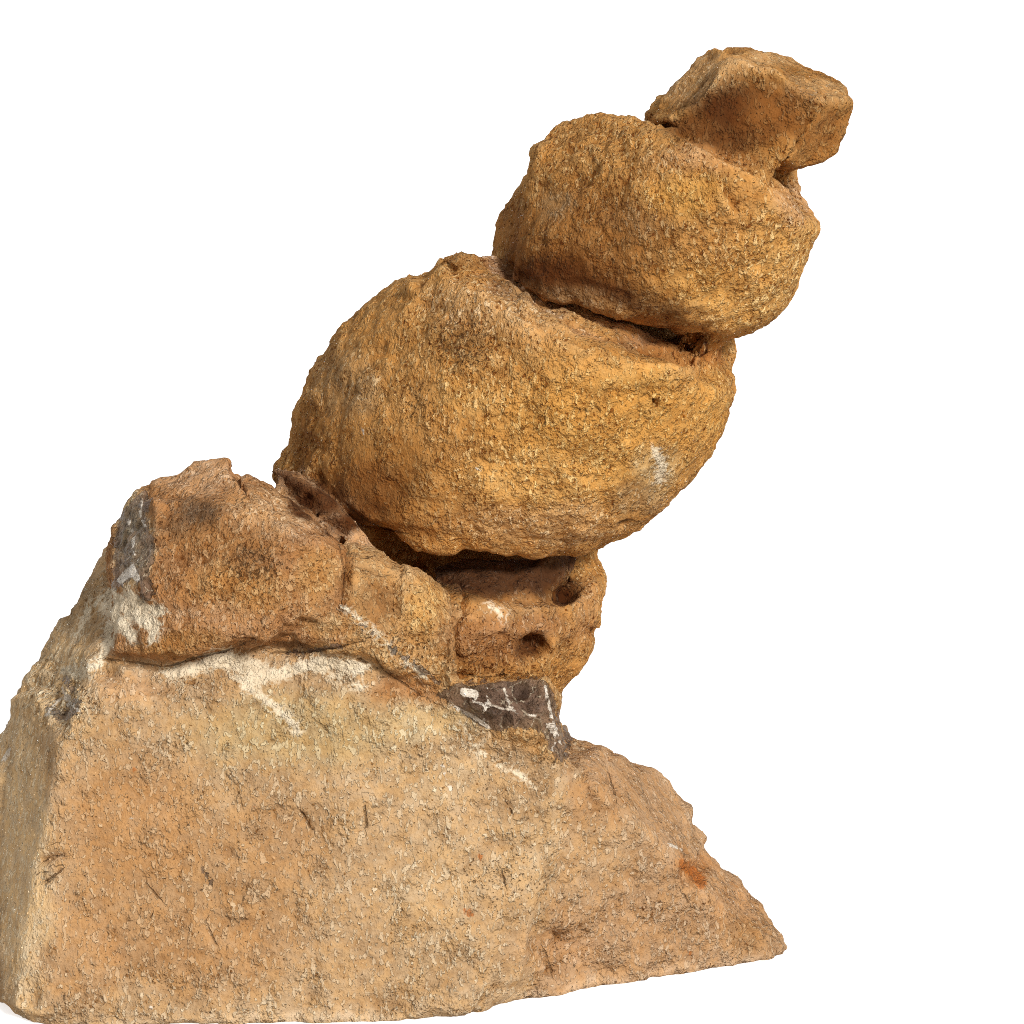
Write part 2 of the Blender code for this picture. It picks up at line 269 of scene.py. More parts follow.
# Hollows with a rim: (x, y, half width, half height, depth)
DENTS = (
    (657, 403, 4, 6, 1.8), (534, 645, 14, 11, 1.2), (531, 646, 4, 5, 1.0),
    (566, 594, 12, 12, 2.4), (390, 598, 14, 18, 1.4), (191, 682, 5, 4, 1.2),
    (253, 703, 4, 3, 0.8), (551, 973, 7, 5, 1.6), (692, 873, 17, 12, 0.9),
    (762, 281, 4, 3, 0.8), (628, 524, 12, 6, 0.5), (657, 466, 13, 20, 0.5),
    (227, 852, 7, 8, 0.5), (592, 632, 8, 6, 1.0), (498, 845, 16, 12, 0.5),
    (560, 950, 34, 22, 0.8), (418, 690, 14, 8, 0.5), (735, 852, 18, 8, 0.8),
    (510, 648, 40, 16, 0.8),
)

# Faces that broke or wore flat: (share, outline)
FACETS = (
    (0.85, ((717, 87), (721, 77), (730, 67), (742, 64), (757, 71), (772, 70), (790, 85),
     (798, 100), (796, 130), (790, 168), (765, 175), (740, 160), (712, 145), (692, 137),
     (670, 127), (660, 122), (680, 117), (700, 107))),
    (0.7, ((800, 102), (812, 106), (845, 116), (841, 137), (827, 157), (800, 168), (794, 165),
     (799, 130))),
    (0.8, ((655, 112), (662, 95), (690, 65), (712, 55), (725, 70), (718, 85), (716, 90),
     (700, 105), (680, 115), (660, 120), (650, 118))),
    (0.8, ((712, 53), (730, 47), (762, 50), (790, 60), (820, 75), (842, 90), (852, 105),
     (845, 113), (812, 104), (800, 98), (790, 84), (772, 69), (757, 70), (742, 63), (728, 65))),
    (0.55, ((548, 150), (570, 122), (590, 118), (620, 122), (650, 124), (684, 138), (712, 152),
     (700, 168), (668, 160), (630, 152), (600, 166), (560, 185), (544, 178))),
    (0.6, ((735, 165), (765, 184), (795, 184), (808, 192), (822, 215), (815, 240), (790, 225),
     (760, 205), (738, 190))),
    (0.5, ((505, 205), (520, 185), (534, 165), (528, 193), (526, 219), (522, 245), (521, 272),
     (505, 262), (497, 240))),
    (0.6, ((540, 190), (560, 188), (578, 200), (576, 216), (556, 222), (538, 216))),
    (0.8, ((440, 272), (459, 257), (500, 267), (525, 286), (564, 309), (608, 330), (655, 342),
     (700, 364), (692, 374), (640, 378), (584, 380), (542, 364), (505, 336), (480, 318),
     (455, 302), (430, 292))),
    (0.5, ((411, 280), (425, 300), (402, 330), (372, 345), (345, 372), (318, 402), (303, 405),
     (312, 372), (330, 342), (378, 296))),
    (0.7, ((129, 491), (180, 467), (225, 458), (229, 478), (204, 494), (174, 500), (144, 497))),
    (0.8, ((231, 476), (258, 479), (300, 506), (345, 545), (342, 560), (312, 549), (282, 543),
     (252, 514), (234, 497))),
    (0.7, ((286, 546), (312, 551), (342, 562), (342, 596), (324, 620), (294, 614), (282, 578))),
    (0.4, ((156, 502), (228, 499), (250, 518), (280, 546), (284, 596), (300, 626), (258, 645),
     (228, 642), (180, 657), (116, 654), (122, 620), (150, 602), (156, 548))),
    (0.8, ((120, 506), (144, 489), (153, 512), (153, 548), (153, 602), (114, 584), (114, 548))),
    (0.75, ((348, 554), (372, 547), (420, 572), (453, 590), (456, 601), (420, 590),
     (384, 575))),
    (0.75, ((414, 587), (444, 600), (456, 604), (450, 635), (447, 655), (430, 650),
     (411, 625))),
    (0.8, ((546, 639), (569, 636), (571, 660), (567, 681), (548, 682))),
    (0.8, ((462, 684), (489, 681), (540, 679), (546, 700), (543, 728), (514, 726), (496, 729),
     (470, 706))),
    (0.7, ((552, 687), (558, 711), (572, 738), (566, 757), (559, 762), (548, 732), (547, 700))),
    (0.7, ((66, 735), (60, 780), (54, 818), (45, 864), (38, 920), (34, 971), (30, 1010),
     (4, 1000), (2, 850), (4, 760), (20, 700), (50, 690))),
    (0.55, ((66, 742), (120, 700), (240, 690), (330, 720), (330, 860), (300, 1000), (40, 1012),
     (36, 960), (47, 864))),
    (0.5, ((340, 720), (430, 720), (520, 790), (540, 880), (520, 980), (320, 1000),
     (330, 860))),
    (0.75, ((594, 752), (642, 771), (661, 779), (683, 800), (691, 826), (701, 845), (692, 868),
     (674, 868), (652, 848), (623, 816), (596, 790), (580, 757))),
    (0.65, ((700, 848), (726, 866), (750, 890), (766, 914), (772, 940), (740, 930), (700, 907),
     (686, 878))),
    (0.5, ((574, 764), (592, 798), (619, 822), (648, 854), (670, 874), (688, 907), (698, 935),
     (640, 962), (580, 960), (550, 880), (540, 800))),
)

# Places rougher than the rest, or smoother where the share is below zero: (x, y, reach, share)
ROUGHER = (
    (600, 150, 70, 0.9), (470, 268, 50, 0.8), (520, 320, 60, 0.4), (470, 350, 50, 0.6),
    (420, 400, 60, 0.2), (730, 260, 110, 0.2), (210, 580, 90, 0.7), (285, 510, 60, 0.6),
    (310, 620, 60, 0.7), (300, 460, 40, 0.5), (420, 640, 60, 0.8), (520, 700, 60, 0.8),
    (560, 745, 30, 0.8), (130, 540, 50, 0.6), (70, 690, 50, 0.5), (740, 930, 60, 0.5),
    (630, 800, 90, -0.3), (380, 470, 80, -0.35), (557, 207, 26, -0.7), (510, 235, 30, -0.4),
    (500, 585, 60, -0.4), (740, 110, 70, -0.5), (8, 860, 160, -0.6), (180, 850, 200, -0.35),
    (420, 860, 200, -0.25),
)

# Places with many sooty specks: (x, y, half width, half height, share)
SOOTY = (
    (462, 345, 44, 38, 1.0), (420, 400, 24, 28, 0.8), (530, 400, 90, 50, 0.4),
    (590, 440, 60, 60, 0.35), (255, 566, 40, 30, 1.0), (240, 590, 70, 30, 0.5),
    (410, 650, 40, 34, 0.8), (460, 660, 50, 16, 0.6), (600, 150, 60, 30, 0.4),
    (760, 270, 60, 60, 0.4), (500, 880, 60, 40, 0.5), (70, 700, 36, 30, 0.8),
    (555, 750, 24, 24, 0.8), (120, 540, 30, 60, 0.5), (560, 950, 34, 26, 0.4),
    (415, 610, 40, 40, 0.4),
)

# fmt: on

# --- Finishes -------------------------------------------------------------------------------


def linear(red, green, blue):
    """A display colour, 0 to 255, as scene light."""
    shares = (value / 255 for value in (red, green, blue))
    return tuple(s / 12.92 if s <= 0.04045 else ((s + 0.055) / 1.055) ** 2.4 for s in shares)


# fmt: off
TONES = {
    "beige": linear(200, 165, 123), "pale beige": linear(213, 180, 136),
    "golden beige": linear(187, 141, 94), "grey green": linear(202, 174, 126),
    "cream": linear(220, 193, 148), "clay": linear(180, 130, 84),
    "pink beige": linear(211, 166, 122), "pink brown": linear(196, 145, 96),
    "golden ochre": linear(216, 160, 84), "yellow ochre": linear(228, 175, 102),
    "ochre": linear(200, 146, 82), "ochre brown": linear(172, 121, 64),
    "warm brown": linear(142, 92, 45), "dark brown": linear(112, 70, 33),
    "grey olive": linear(172, 142, 102), "sandy": linear(202, 156, 102),
    "light sandy": linear(224, 176, 118), "orange brown": linear(188, 126, 68),
    "soot": linear(96, 74, 54), "umber": linear(84, 44, 14), "chalk": linear(238, 205, 158),
    "shade": linear(88, 56, 32), "tan": linear(193, 153, 112),
}

# The tone that the coil and each rock start from
BASE_TONES = {
    "coil": "ochre", "block": "beige", "toe": "tan", "dome": "clay", "slab": "sandy",
    "shell chunk": "sandy", "wedge": "pink beige", "top lump": "ochre brown",
    "saddle": "pink beige", "channel": "orange brown", "trough": "shade", "crest": "clay",
    "joint": "sandy",
}

COIL_PARTS = ("coil", "saddle", "channel", "trough")

# Soft tints on the front, some of them painted shade and painted light: (tone, strength, x, y,
# half width, half height)
TINTS = (
    # top lump; dark brown and umber on its front facet: partly its tone, partly painted shade;
    # along its crease with the second whorl: painted shade
    ("sandy", 0.8, 700, 84, 46, 30), ("sandy", 0.9, 752, 60, 62, 12),
    ("sandy", 0.8, 818, 88, 44, 14), ("light sandy", 0.8, 692, 82, 32, 26),
    ("dark brown", 0.95, 738, 112, 46, 36), ("umber", 0.85, 734, 114, 58, 38),
    ("umber", 0.4, 770, 120, 40, 30), ("dark brown", 0.8, 712, 138, 44, 18),
    ("warm brown", 0.9, 776, 112, 38, 38), ("dark brown", 0.9, 700, 130, 46, 12),
    ("warm brown", 0.55, 815, 125, 36, 34), ("ochre brown", 0.6, 768, 158, 34, 12),
    # second whorl; the warm brown and umber low on it, along its crease and gap over the third
    # whorl, are painted shade
    ("warm brown", 0.85, 590, 240, 90, 58), ("ochre brown", 0.35, 600, 235, 90, 60),
    ("ochre", 0.8, 610, 145, 70, 22), ("ochre brown", 0.5, 562, 172, 28, 16),
    ("golden ochre", 0.9, 690, 200, 50, 26), ("ochre", 0.7, 735, 215, 36, 36),
    ("yellow ochre", 0.8, 780, 262, 50, 60), ("yellow ochre", 0.8, 738, 306, 56, 24),
    ("golden ochre", 0.5, 700, 285, 44, 24), ("warm brown", 0.8, 575, 270, 60, 30),
    ("umber", 0.95, 546, 279, 60, 25), ("umber", 0.95, 602, 301, 60, 23),
    ("umber", 0.6, 650, 316, 60, 14), ("grey olive", 0.2, 645, 218, 44, 22),
    ("grey olive", 0.4, 557, 205, 24, 15), ("warm brown", 0.55, 512, 232, 18, 44),
    ("dark brown", 0.6, 514, 258, 16, 20), ("pink brown", 0.5, 700, 160, 60, 14),
    ("pink beige", 0.5, 800, 200, 26, 26),
    # third whorl; the browns on its lower left, away from the key light, and in its channel
    # under the second whorl are painted shade
    ("golden ochre", 0.8, 600, 430, 130, 80), ("sandy", 0.6, 540, 318, 120, 26),
    ("light sandy", 0.5, 510, 300, 60, 20), ("ochre", 0.7, 610, 325, 60, 18),
    ("warm brown", 0.5, 468, 260, 40, 9), ("warm brown", 0.45, 650, 346, 52, 18),
    ("ochre", 0.5, 375, 330, 56, 44), ("grey olive", 0.5, 345, 385, 34, 40),
    ("soot", 0.3, 470, 346, 24, 18), ("soot", 0.2, 420, 398, 20, 22),
    ("light sandy", 0.5, 460, 300, 40, 26), ("yellow ochre", 0.6, 470, 395, 40, 26),
    ("golden ochre", 0.6, 650, 400, 50, 36), ("yellow ochre", 0.7, 530, 480, 80, 34),
    ("light sandy", 0.7, 540, 525, 90, 22), ("golden ochre", 0.7, 715, 410, 26, 50),
    ("ochre brown", 0.8, 385, 465, 60, 44), ("warm brown", 0.8, 365, 490, 50, 34),
    ("dark brown", 0.7, 350, 515, 44, 18), ("umber", 0.25, 360, 490, 70, 40),
    ("warm brown", 0.5, 420, 525, 50, 16), ("grey green", 0.6, 655, 470, 24, 30),
    ("grey olive", 0.5, 640, 500, 36, 14), ("warm brown", 0.5, 303, 450, 16, 50),
    ("ochre brown", 0.7, 330, 440, 30, 40),
    # dome, wedge and slab; the ochre brown under the dome's overhang and the umber in the
    # recess below the third whorl are painted shade
    ("pink beige", 0.8, 200, 474, 50, 18), ("pink beige", 0.9, 285, 512, 60, 30),
    ("light sandy", 0.3, 275, 505, 56, 24), ("soot", 0.75, 198, 507, 26, 15),
    ("soot", 0.4, 178, 522, 26, 14), ("soot", 0.35, 208, 520, 14, 12),
    ("ochre brown", 0.35, 225, 540, 70, 24), ("golden ochre", 0.3, 240, 590, 60, 30),
    ("soot", 0.3, 255, 560, 26, 18), ("yellow ochre", 0.35, 318, 575, 24, 28),
    ("light sandy", 0.3, 318, 616, 26, 20), ("ochre brown", 0.6, 180, 648, 60, 14),
    ("pink beige", 0.3, 215, 618, 60, 20), ("warm brown", 0.7, 346, 575, 8, 34),
    ("umber", 0.95, 300, 496, 20, 26), ("umber", 0.8, 282, 478, 16, 12),
    ("umber", 0.95, 322, 498, 22, 20), ("umber", 0.95, 344, 522, 20, 15),
    ("warm brown", 0.6, 375, 602, 20, 30), ("yellow ochre", 0.6, 425, 612, 26, 34),
    ("cream", 0.9, 132, 540, 22, 54), ("umber", 0.9, 500, 702, 56, 24),
    ("orange brown", 0.6, 405, 694, 40, 26), ("orange brown", 0.6, 440, 715, 34, 18),
    # fourth whorl; the shade in its channel, and the dark brown in its hollow and in the cleft
    # under the third whorl, are painted shade
    ("clay", 0.9, 505, 632, 84, 36), ("warm brown", 0.2, 505, 632, 84, 36),
    ("warm brown", 0.5, 480, 660, 40, 22), ("umber", 0.8, 533, 646, 20, 14),
    ("ochre", 0.7, 560, 658, 20, 30), ("sandy", 0.6, 500, 612, 60, 10),
    ("shade", 1.0, 500, 580, 74, 18), ("shade", 0.7, 540, 590, 26, 18),
    ("dark brown", 0.7, 566, 592, 12, 13), ("dark brown", 0.6, 480, 562, 80, 8),
    ("pink brown", 0.5, 588, 610, 14, 40),
    # block; the chalk along its left edge is painted light, lifting its dimly lit left face
    ("grey green", 0.8, 300, 730, 120, 44), ("cream", 0.9, 430, 722, 60, 22),
    ("pale beige", 0.7, 430, 775, 70, 36), ("pale beige", 0.4, 430, 900, 60, 90),
    ("pale beige", 0.4, 560, 850, 90, 60), ("golden beige", 0.8, 130, 830, 90, 90),
    ("golden beige", 0.5, 260, 850, 80, 60), ("golden beige", 0.7, 200, 940, 120, 60),
    ("orange brown", 0.25, 80, 950, 50, 70), ("pink beige", 0.5, 120, 690, 50, 16),
    ("pink beige", 0.5, 560, 950, 50, 26), ("golden beige", 0.5, 600, 800, 40, 30),
    ("pink brown", 0.4, 740, 905, 40, 30), ("ochre brown", 0.5, 750, 935, 30, 20),
    ("orange brown", 0.6, 692, 872, 24, 20), ("chalk", 0.9, 22, 850, 30, 190),
    ("chalk", 0.8, 60, 680, 40, 60), ("grey olive", 0.5, 80, 610, 30, 34),
)

# Patches with a crisp edge: outlines, and lines with their half width: (half width, line)
SHELL_AREAS = (
    ((144, 487), (122, 510), (114, 538), (115, 562), (111, 590), (128, 584), (135, 576),
     (140, 586), (138, 600), (150, 602), (156, 590), (148, 574), (156, 556), (155, 541),
     (149, 528), (146, 514), (152, 500)),
    ((447, 690), (463, 681), (489, 680), (515, 679), (540, 677), (552, 686), (558, 711),
     (573, 738), (569, 757), (559, 764), (550, 750), (543, 732), (514, 728), (496, 732),
     (479, 726), (452, 705), (431, 694)),
)
SHELL_LINES = (
    (5, ((50, 708), (60, 717), (72, 712), (76, 702))), (3.5, ((66, 678), (73, 690))),
    (2, ((352, 618), (372, 634))), (2.4, ((389, 648), (412, 662), (438, 682))),
    (2, ((288, 654), (340, 646))), (3, ((286, 691), (291, 692))),
    (2.5, ((205, 868), (208, 876), (211, 886))),
)
CREAM_LINES = (
    (6, ((168, 674), (195, 668), (214, 660), (228, 653))),
    (9, ((214, 660), (235, 663), (262, 672))),
    (4, ((235, 675), (248, 687), (266, 700), (284, 714), (298, 730))),
    (6, ((250, 682), (285, 672), (320, 662), (340, 665), (362, 668))),
    (3, ((300, 662), (330, 674), (364, 689))),
    (4, ((113, 590), (112, 620), (107, 650), (98, 664), (76, 672))),
    (8, ((118, 602), (134, 612), (152, 624))),
    (4, ((112, 632), (135, 612), (158, 624), (150, 640))),
    (6, ((114, 602), (112, 624), (107, 645))), (6, ((104, 606), (118, 622), (132, 636))),
    (5, ((128, 594), (144, 606), (162, 612))), (3, ((75, 665), (62, 672), (88, 676))),
    (2.5, ((74, 640), (88, 610), (110, 590))),
    (2, ((343, 606), (362, 622), (380, 638), (428, 680))), (2, ((462, 724), (479, 752))),
    (2.5, ((477, 748), (488, 758))), (3, ((500, 764), (516, 772), (532, 783))),
    (2, ((488, 606), (498, 610), (505, 618))), (5, ((656, 452), (662, 466), (659, 480))),
)
CALCITE_LINES = (
    (4, ((121, 580), (131, 570), (137, 578))), (3, ((132, 568), (136, 576))),
    (1.6, ((128, 520), (134, 534), (132, 548), (138, 560))),
    (1.2, ((142, 500), (140, 515), (146, 528))), (4.5, ((464, 692), (474, 694))),
    (1.3, ((487, 684), (488, 704), (482, 716))), (1.5, ((504, 688), (508, 700), (514, 712))),
    (1.2, ((474, 702), (494, 706), (514, 712), (536, 716))),
    (1.6, ((545, 686), (551, 716), (561, 746))), (1.3, ((546, 724), (556, 738), (552, 752))),
    (2, ((446, 704), (472, 716), (490, 728))), (2.2, ((442, 766), (448, 778), (451, 790))),
    (1.8, ((46, 716), (58, 700), (70, 696), (66, 712))),
    (1.5, ((60, 684), (68, 700), (80, 712))), (1.5, ((148, 1006), (155, 1010))),
    (1.5, ((130, 817), (134, 819))), (1.3, ((475, 468), (480, 472))),
    (1.3, ((362, 428), (365, 437))), (1.5, ((669, 844), (682, 850))),
    (2.5, ((4, 760), (10, 750))),
)
RUST_LINES = (
    (5.5, ((683, 864), (693, 873), (702, 883))), (1.6, ((272, 692), (275, 698))),
    (1.5, ((424, 836), (425, 842))), (1.6, ((480, 852), (481, 863))),
    (2.6, ((463, 909), (473, 915))), (1.6, ((134, 769), (136, 774))),
    (1.2, ((322, 781), (330, 778))), (1.2, ((254, 801), (255, 806))),
    (1.5, ((686, 951), (691, 953))),
)

# (outlines, lines) of each kind
PATCHES = {
    "shell": (SHELL_AREAS, SHELL_LINES),
    "cream": ((), CREAM_LINES),
    "calcite": ((), CALCITE_LINES),
    "rust": ((), RUST_LINES),
}

# Hairline cracks: those in the grooves, and others too thin to feel. Where two meet, the
# first of them shows.
CRACKS = (
    ((108, 659), (132, 662), (165, 667), (196, 658), (226, 651), (246, 643)),
    ((275, 652), (306, 652), (337, 648), (361, 641)), ((453, 672), (480, 677), (500, 677)),
    ((616, 524), (628, 519), (640, 522)), ((340, 550), (345, 575), (342, 602)),
    *(line for _, _, line in CRACKED),
)

# fmt: on

# --- Settings -------------------------------------------------------------------------------


def number(name, about, default, low, high, **more):
    return bpy.props.FloatProperty(
        name=name, description=about, default=default, min=low, max=high, **more
    )


def length(name, about, default, low, high):
    """A length; these three are in millimetres, the property is in metres."""
    sizes = (value * MM for value in (default, low, high))
    return number(name, about, *sizes, subtype="DISTANCE", unit="LENGTH", precision=5)


def whole(name, about, default, low, high):
    return bpy.props.IntProperty(
        name=name, description=about, default=default, min=low, max=high
    )


def finish_colour(name, about, default):
    return bpy.props.FloatVectorProperty(
        name=name, description=about, default=default, size=3, min=0, max=1, subtype="COLOR"
    )


class CoilSizes(bpy.types.PropertyGroup):
    """The rule that the whorls follow."""

    whorl_ratio: number(
        "Whorl ratio", "Size of each whorl over that of the one above it", 1.28, 1.05, 2.0
    )
    slimness: number(
        "Radius per height", "Whorl radius over its distance below the tip", 0.19, 0.05, 0.6
    )
    hollow_axis: number(
        "Inner side", "Inner side of the whorl, as a share of its radius", 0.25, 0.0, 0.8,
        subtype="FACTOR",
    )  # fmt: skip


class StoneFinish(bpy.types.PropertyGroup):
    """How fine the stone is built and how it is coloured."""

    cell: length("Fusing cell", "Grid that the whorls and the rocks are fused on", 0.62, 0.3, 3)
    faces: whole("Triangles", "Triangles that the finished stone keeps", 190000, 8000, 199000)
    relief: number("Roughness of the relief", "Height of the weathered relief", 1.0, 0.0, 3.0)
    contrast: number(
        "Grain contrast", "How far light and dark grains stand apart", 1.0, 0.0, 2.0
    )
    shell_colour: finish_colour(
        "Shell", "Colour of the dark shell that is left", linear(104, 84, 70)
    )
    cream_colour: finish_colour(
        "Crushed lime", "Colour of the crushed, creamy lime", linear(250, 232, 200)
    )
    calcite_colour: finish_colour(
        "Calcite", "Colour of the white calcite veins", linear(246, 232, 212)
    )
    rust_colour: finish_colour("Rust", "Colour of the rusty chips", linear(205, 118, 48))
    pit_colour: finish_colour("Pits", "Colour in the pits and cracks", linear(66, 38, 16))


class GrainSizes(bpy.types.PropertyGroup):
    """The loose and half-buried grains."""

    count: whole("Grains", "Grains in each of the grain pieces", 9200, 0, 9900)
    smallest: length("Smallest", "Half the length of the smallest grain", 0.14, 0.05, 2)
    largest: length("Largest", "Half the length of the largest grain", 0.42, 0.05, 3)


class StageLook(bpy.types.PropertyGroup):
    """Floor and light."""

    floor_colour: finish_colour("Floor", "Colour of the floor", (0.93, 0.925, 0.915))
    key_strength: number("Key light", "Strength of the main light", 3.1, 0, 20)
    sky_strength: number("Sky", "Light from all round", 0.45, 0, 5)


# --- Node trees -----------------------------------------------------------------------------


class Wire:
    """One output in a node tree. Sums written with it add Math nodes to the tree."""

    def __init__(self, tree, socket):
        self.tree = tree
        self.socket = socket

    def node(self, kind, settings=None, inputs=None, output=0):
        return add_node(self.tree, kind, settings, inputs, output)

    def maths(self, operation, *others, clamp=False):
        values = dict(enumerate((self, *others)))
        return self.node(
            "ShaderNodeMath", {"operation": operation, "use_clamp": clamp}, values
        )

    def __add__(self, other):
        return self.maths("ADD", other)

    __radd__ = __add__

    def __sub__(self, other):
        return self.maths("SUBTRACT", other)

    def __rsub__(self, other):
        return self.node("ShaderNodeMath", {"operation": "SUBTRACT"}, {0: other, 1: self})

    def __mul__(self, other):
        return self.maths("MULTIPLY", other)

    __rmul__ = __mul__

    def __truediv__(self, other):
        return self.maths("DIVIDE", other)

    def least(self, other):
        return self.maths("MINIMUM", other)

    def most(self, other):
        return self.maths("MAXIMUM", other)

    def clamped(self):
        return self.maths("ADD", 0.0, clamp=True)

    def step(self, low, high):
        """0 below low, 1 above high, smooth between."""
        return self.node(
            "ShaderNodeMapRange", {"interpolation_type": "SMOOTHSTEP"},
            {"Value": self, "From Min": low, "From Max": high},
        )  # fmt: skip

    def vector(self, operation, other=None, scale=None):
        inputs = {0: self}
        if other is not None:
            inputs[1] = other
        if scale is not None:
            inputs["Scale"] = scale
        output = "Value" if operation == "DOT_PRODUCT" else 0
        return self.node("ShaderNodeVectorMath", {"operation": operation}, inputs, output)

    def blend(self, other, share):
        """This colour turned towards the other one, by share."""
        inputs = {0: share, 6: self, 7: other}
        return self.node("ShaderNodeMix", {"data_type": "RGBA"}, inputs, 2)

    def mixed(self, first, second):
        """The first colour where this value is 0, the second where it is 1."""
        inputs = {0: self, 6: first, 7: second}
        return self.node("ShaderNodeMix", {"data_type": "RGBA"}, inputs, 2)

    def beside(self, output):
        """Another output of the same node."""
        return Wire(self.tree, self.socket.node.outputs[output])

    def part(self, index):
        """One channel of a colour or vector."""
        return self.vector("DOT_PRODUCT", tuple(float(i == index) for i in range(3)))

    def curve(self, stops, values):
        """A smooth curve through these values; the first stop lies at 0, the last at 1."""
        low, high = min(values) - CURVE_MARGIN, max(values) + CURVE_MARGIN
        run = stops[-1] - stops[0]
        points = [
            ((stop - stops[0]) / run, (value - low) / (high - low))
            for stop, value in zip(stops, values)
        ]
        found = self.node("ShaderNodeFloatCurve", {"curve": points}, {"Value": self})
        return found * (high - low) + low


def add_node(tree, kind, settings=None, inputs=None, output=0):
    """Adds a node, makes its settings, feeds its inputs, and gives one of its outputs."""
    made = tree.nodes.new(kind)
    for name, value in (settings or {}).items():
        if name == "curve":
            points = made.mapping.curves[0].points
            points[0].location, points[1].location = value[0], value[-1]
            for place in value[1:-1]:
                points.new(*place)
            made.mapping.update()
        else:
            setattr(made, name, value)
    for name, value in (inputs or {}).items():
        socket = made.inputs[name]
        if isinstance(value, Wire):
            tree.links.new(value.socket, socket)
        elif isinstance(value, tuple) and socket.type == "RGBA" and len(value) == 3:
            socket.default_value = (*value, 1.0)
        else:
            socket.default_value = value
    return Wire(tree, made.outputs[output])


def geometry_tree(name, inputs):
    """A Geometry Nodes tree with the given inputs; (tree, its inputs by name)."""
    tree = bpy.data.node_groups.new(name, "GeometryNodeTree")
    tree.interface.new_socket("Geometry", in_out="INPUT", socket_type="NodeSocketGeometry")
    for title, kind in inputs.items():
        tree.interface.new_socket(title, in_out="INPUT", socket_type="NodeSocket" + kind)
    tree.interface.new_socket("Geometry", in_out="OUTPUT", socket_type="NodeSocketGeometry")
    start = tree.nodes.new("NodeGroupInput")
    return tree, {socket.name: Wire(tree, socket) for socket in start.outputs if socket.name}


def end_tree(geometry, material):
    """Ends a tree in real geometry with a material on it."""
    real = geometry.node("GeometryNodeRealizeInstances", None, {"Geometry": geometry})
    worn = real.node("GeometryNodeSetMaterial", None, {"Geometry": real, "Material": material})
    end = geometry.tree.nodes.new("NodeGroupOutput")
    geometry.tree.links.new(worn.socket, end.inputs["Geometry"])


def as_mesh(obj):
    """The object's mesh with its modifiers applied; the modifiers go."""
    graph = bpy.context.evaluated_depsgraph_get()
    data = bpy.data.meshes.new_from_object(obj.evaluated_get(graph))
    obj.modifiers.clear()
    old, obj.data = obj.data, data
    bpy.data.meshes.remove(old)
    data.name = obj.name
    return data


def grown(obj, tree, values):
    """The object's mesh after a Geometry Nodes tree with these inputs."""
    modifier = obj.modifiers.new(tree.name, "NODES")
    modifier.node_group = tree
    for socket in tree.interface.items_tree:
        if socket.in_out == "INPUT" and socket.name in values:
            modifier[socket.identifier] = values[socket.name]
    return as_mesh(obj)


def new_object(name, data=None):
    obj = bpy.data.objects.new(name, data or bpy.data.meshes.new(name))
    bpy.context.scene.collection.objects.link(obj)
    return obj


# --- The coil -------------------------------------------------------------------------------


def axis_frame():
    """The coil's axis, and the two directions square to it that point right and back."""
    right = Vector((1, 0, 0))
    across = right * sin(AXIS_LEAN) + Vector(UPRIGHT) * cos(AXIS_LEAN)
    axis = across * cos(AXIS_FORWARD) - Vector(SIGHT) * sin(AXIS_FORWARD)
    outward = (right - axis * right.dot(axis)).normalized()
    return axis, outward, axis.cross(outward)


def coil_tree():
    """A tube swept along a shrinking helix: the whorls."""
    numbers = ("Whorl ratio", "Below tip", "Radius per height", "Inner side", "First turn",
               "Last turn")  # fmt: skip
    vectors = ("Tip", "Axis", "Outward", "Backward")
    inputs = {name: "Float" for name in numbers} | {name: "Vector" for name in vectors}
    tree, given = geometry_tree("Whorls", inputs | {"Stone": "Material"})
    rings = round((LAST_TURN - FIRST_TURN) * RINGS_PER_TURN) + 1
    grid = {"Size X": 1.0, "Size Y": 1.0, "Vertices X": rings + 2}
    grid["Vertices Y"] = SECTION_POINTS + 1
    sheet = add_node(tree, "GeometryNodeMeshGrid", None, grid)
    place = add_node(tree, "GeometryNodeInputPosition")
    ring = (place.part(0) + 0.5) * (rings + 1)
    open_share = ring.least((rings + 1) - ring).clamped()  # 0 at the two ends, which close
    along = (ring.most(1.0).least(rings) - 1) / (rings - 1)
    turn = along * (given["Last turn"] - given["First turn"]) + given["First turn"]

    spare = 2  # section corners repeated at each end, so that the curve closes smoothly
    wrapped = [SECTION[i % len(SECTION)] for i in range(-spare, len(SECTION) + spare + 1)]
    around = ((place.part(1) + 0.5) * len(SECTION) + spare) / (len(wrapped) - 1)
    across, height = (around.curve(range(len(wrapped)), side) for side in zip(*wrapped))

    turns, *sizes = zip(*SWELLINGS)
    rise, outer, upper, lower = (along.curve(turns, size) for size in sizes)
    below = given["Whorl ratio"].maths("POWER", turn) * given["Below tip"]
    radius = given["Radius per height"] * below
    angle = turn * (-2 * pi)
    ray = given["Outward"].vector("SCALE", scale=angle.maths("COSINE")).vector(
        "ADD", given["Backward"].vector("SCALE", scale=angle.maths("SINE"))
    )
    inner = given["Inner side"]
    middle = (inner + outer) * 0.5
    reach = middle + open_share * (inner + (outer - inner) * across - middle)
    lift = open_share * (height.most(0.0) * upper + height.least(0.0) * lower)
    centre = given["Tip"].vector(
        "ADD", given["Axis"].vector("SCALE", scale=radius * (rise + lift) - below)
    )
    point = centre.vector("ADD", ray.vector("SCALE", scale=radius * reach))
    swept = sheet.node(
        "GeometryNodeSetPosition", None,
        {"Geometry": sheet, "Position": point.vector("SCALE", scale=MM)},
    )  # fmt: skip
    welded = sheet.node(
        "GeometryNodeMergeByDistance", None, {"Geometry": swept, "Distance": 0.01 * MM}
    )
    end_tree(welded, given["Stone"])
    return tree


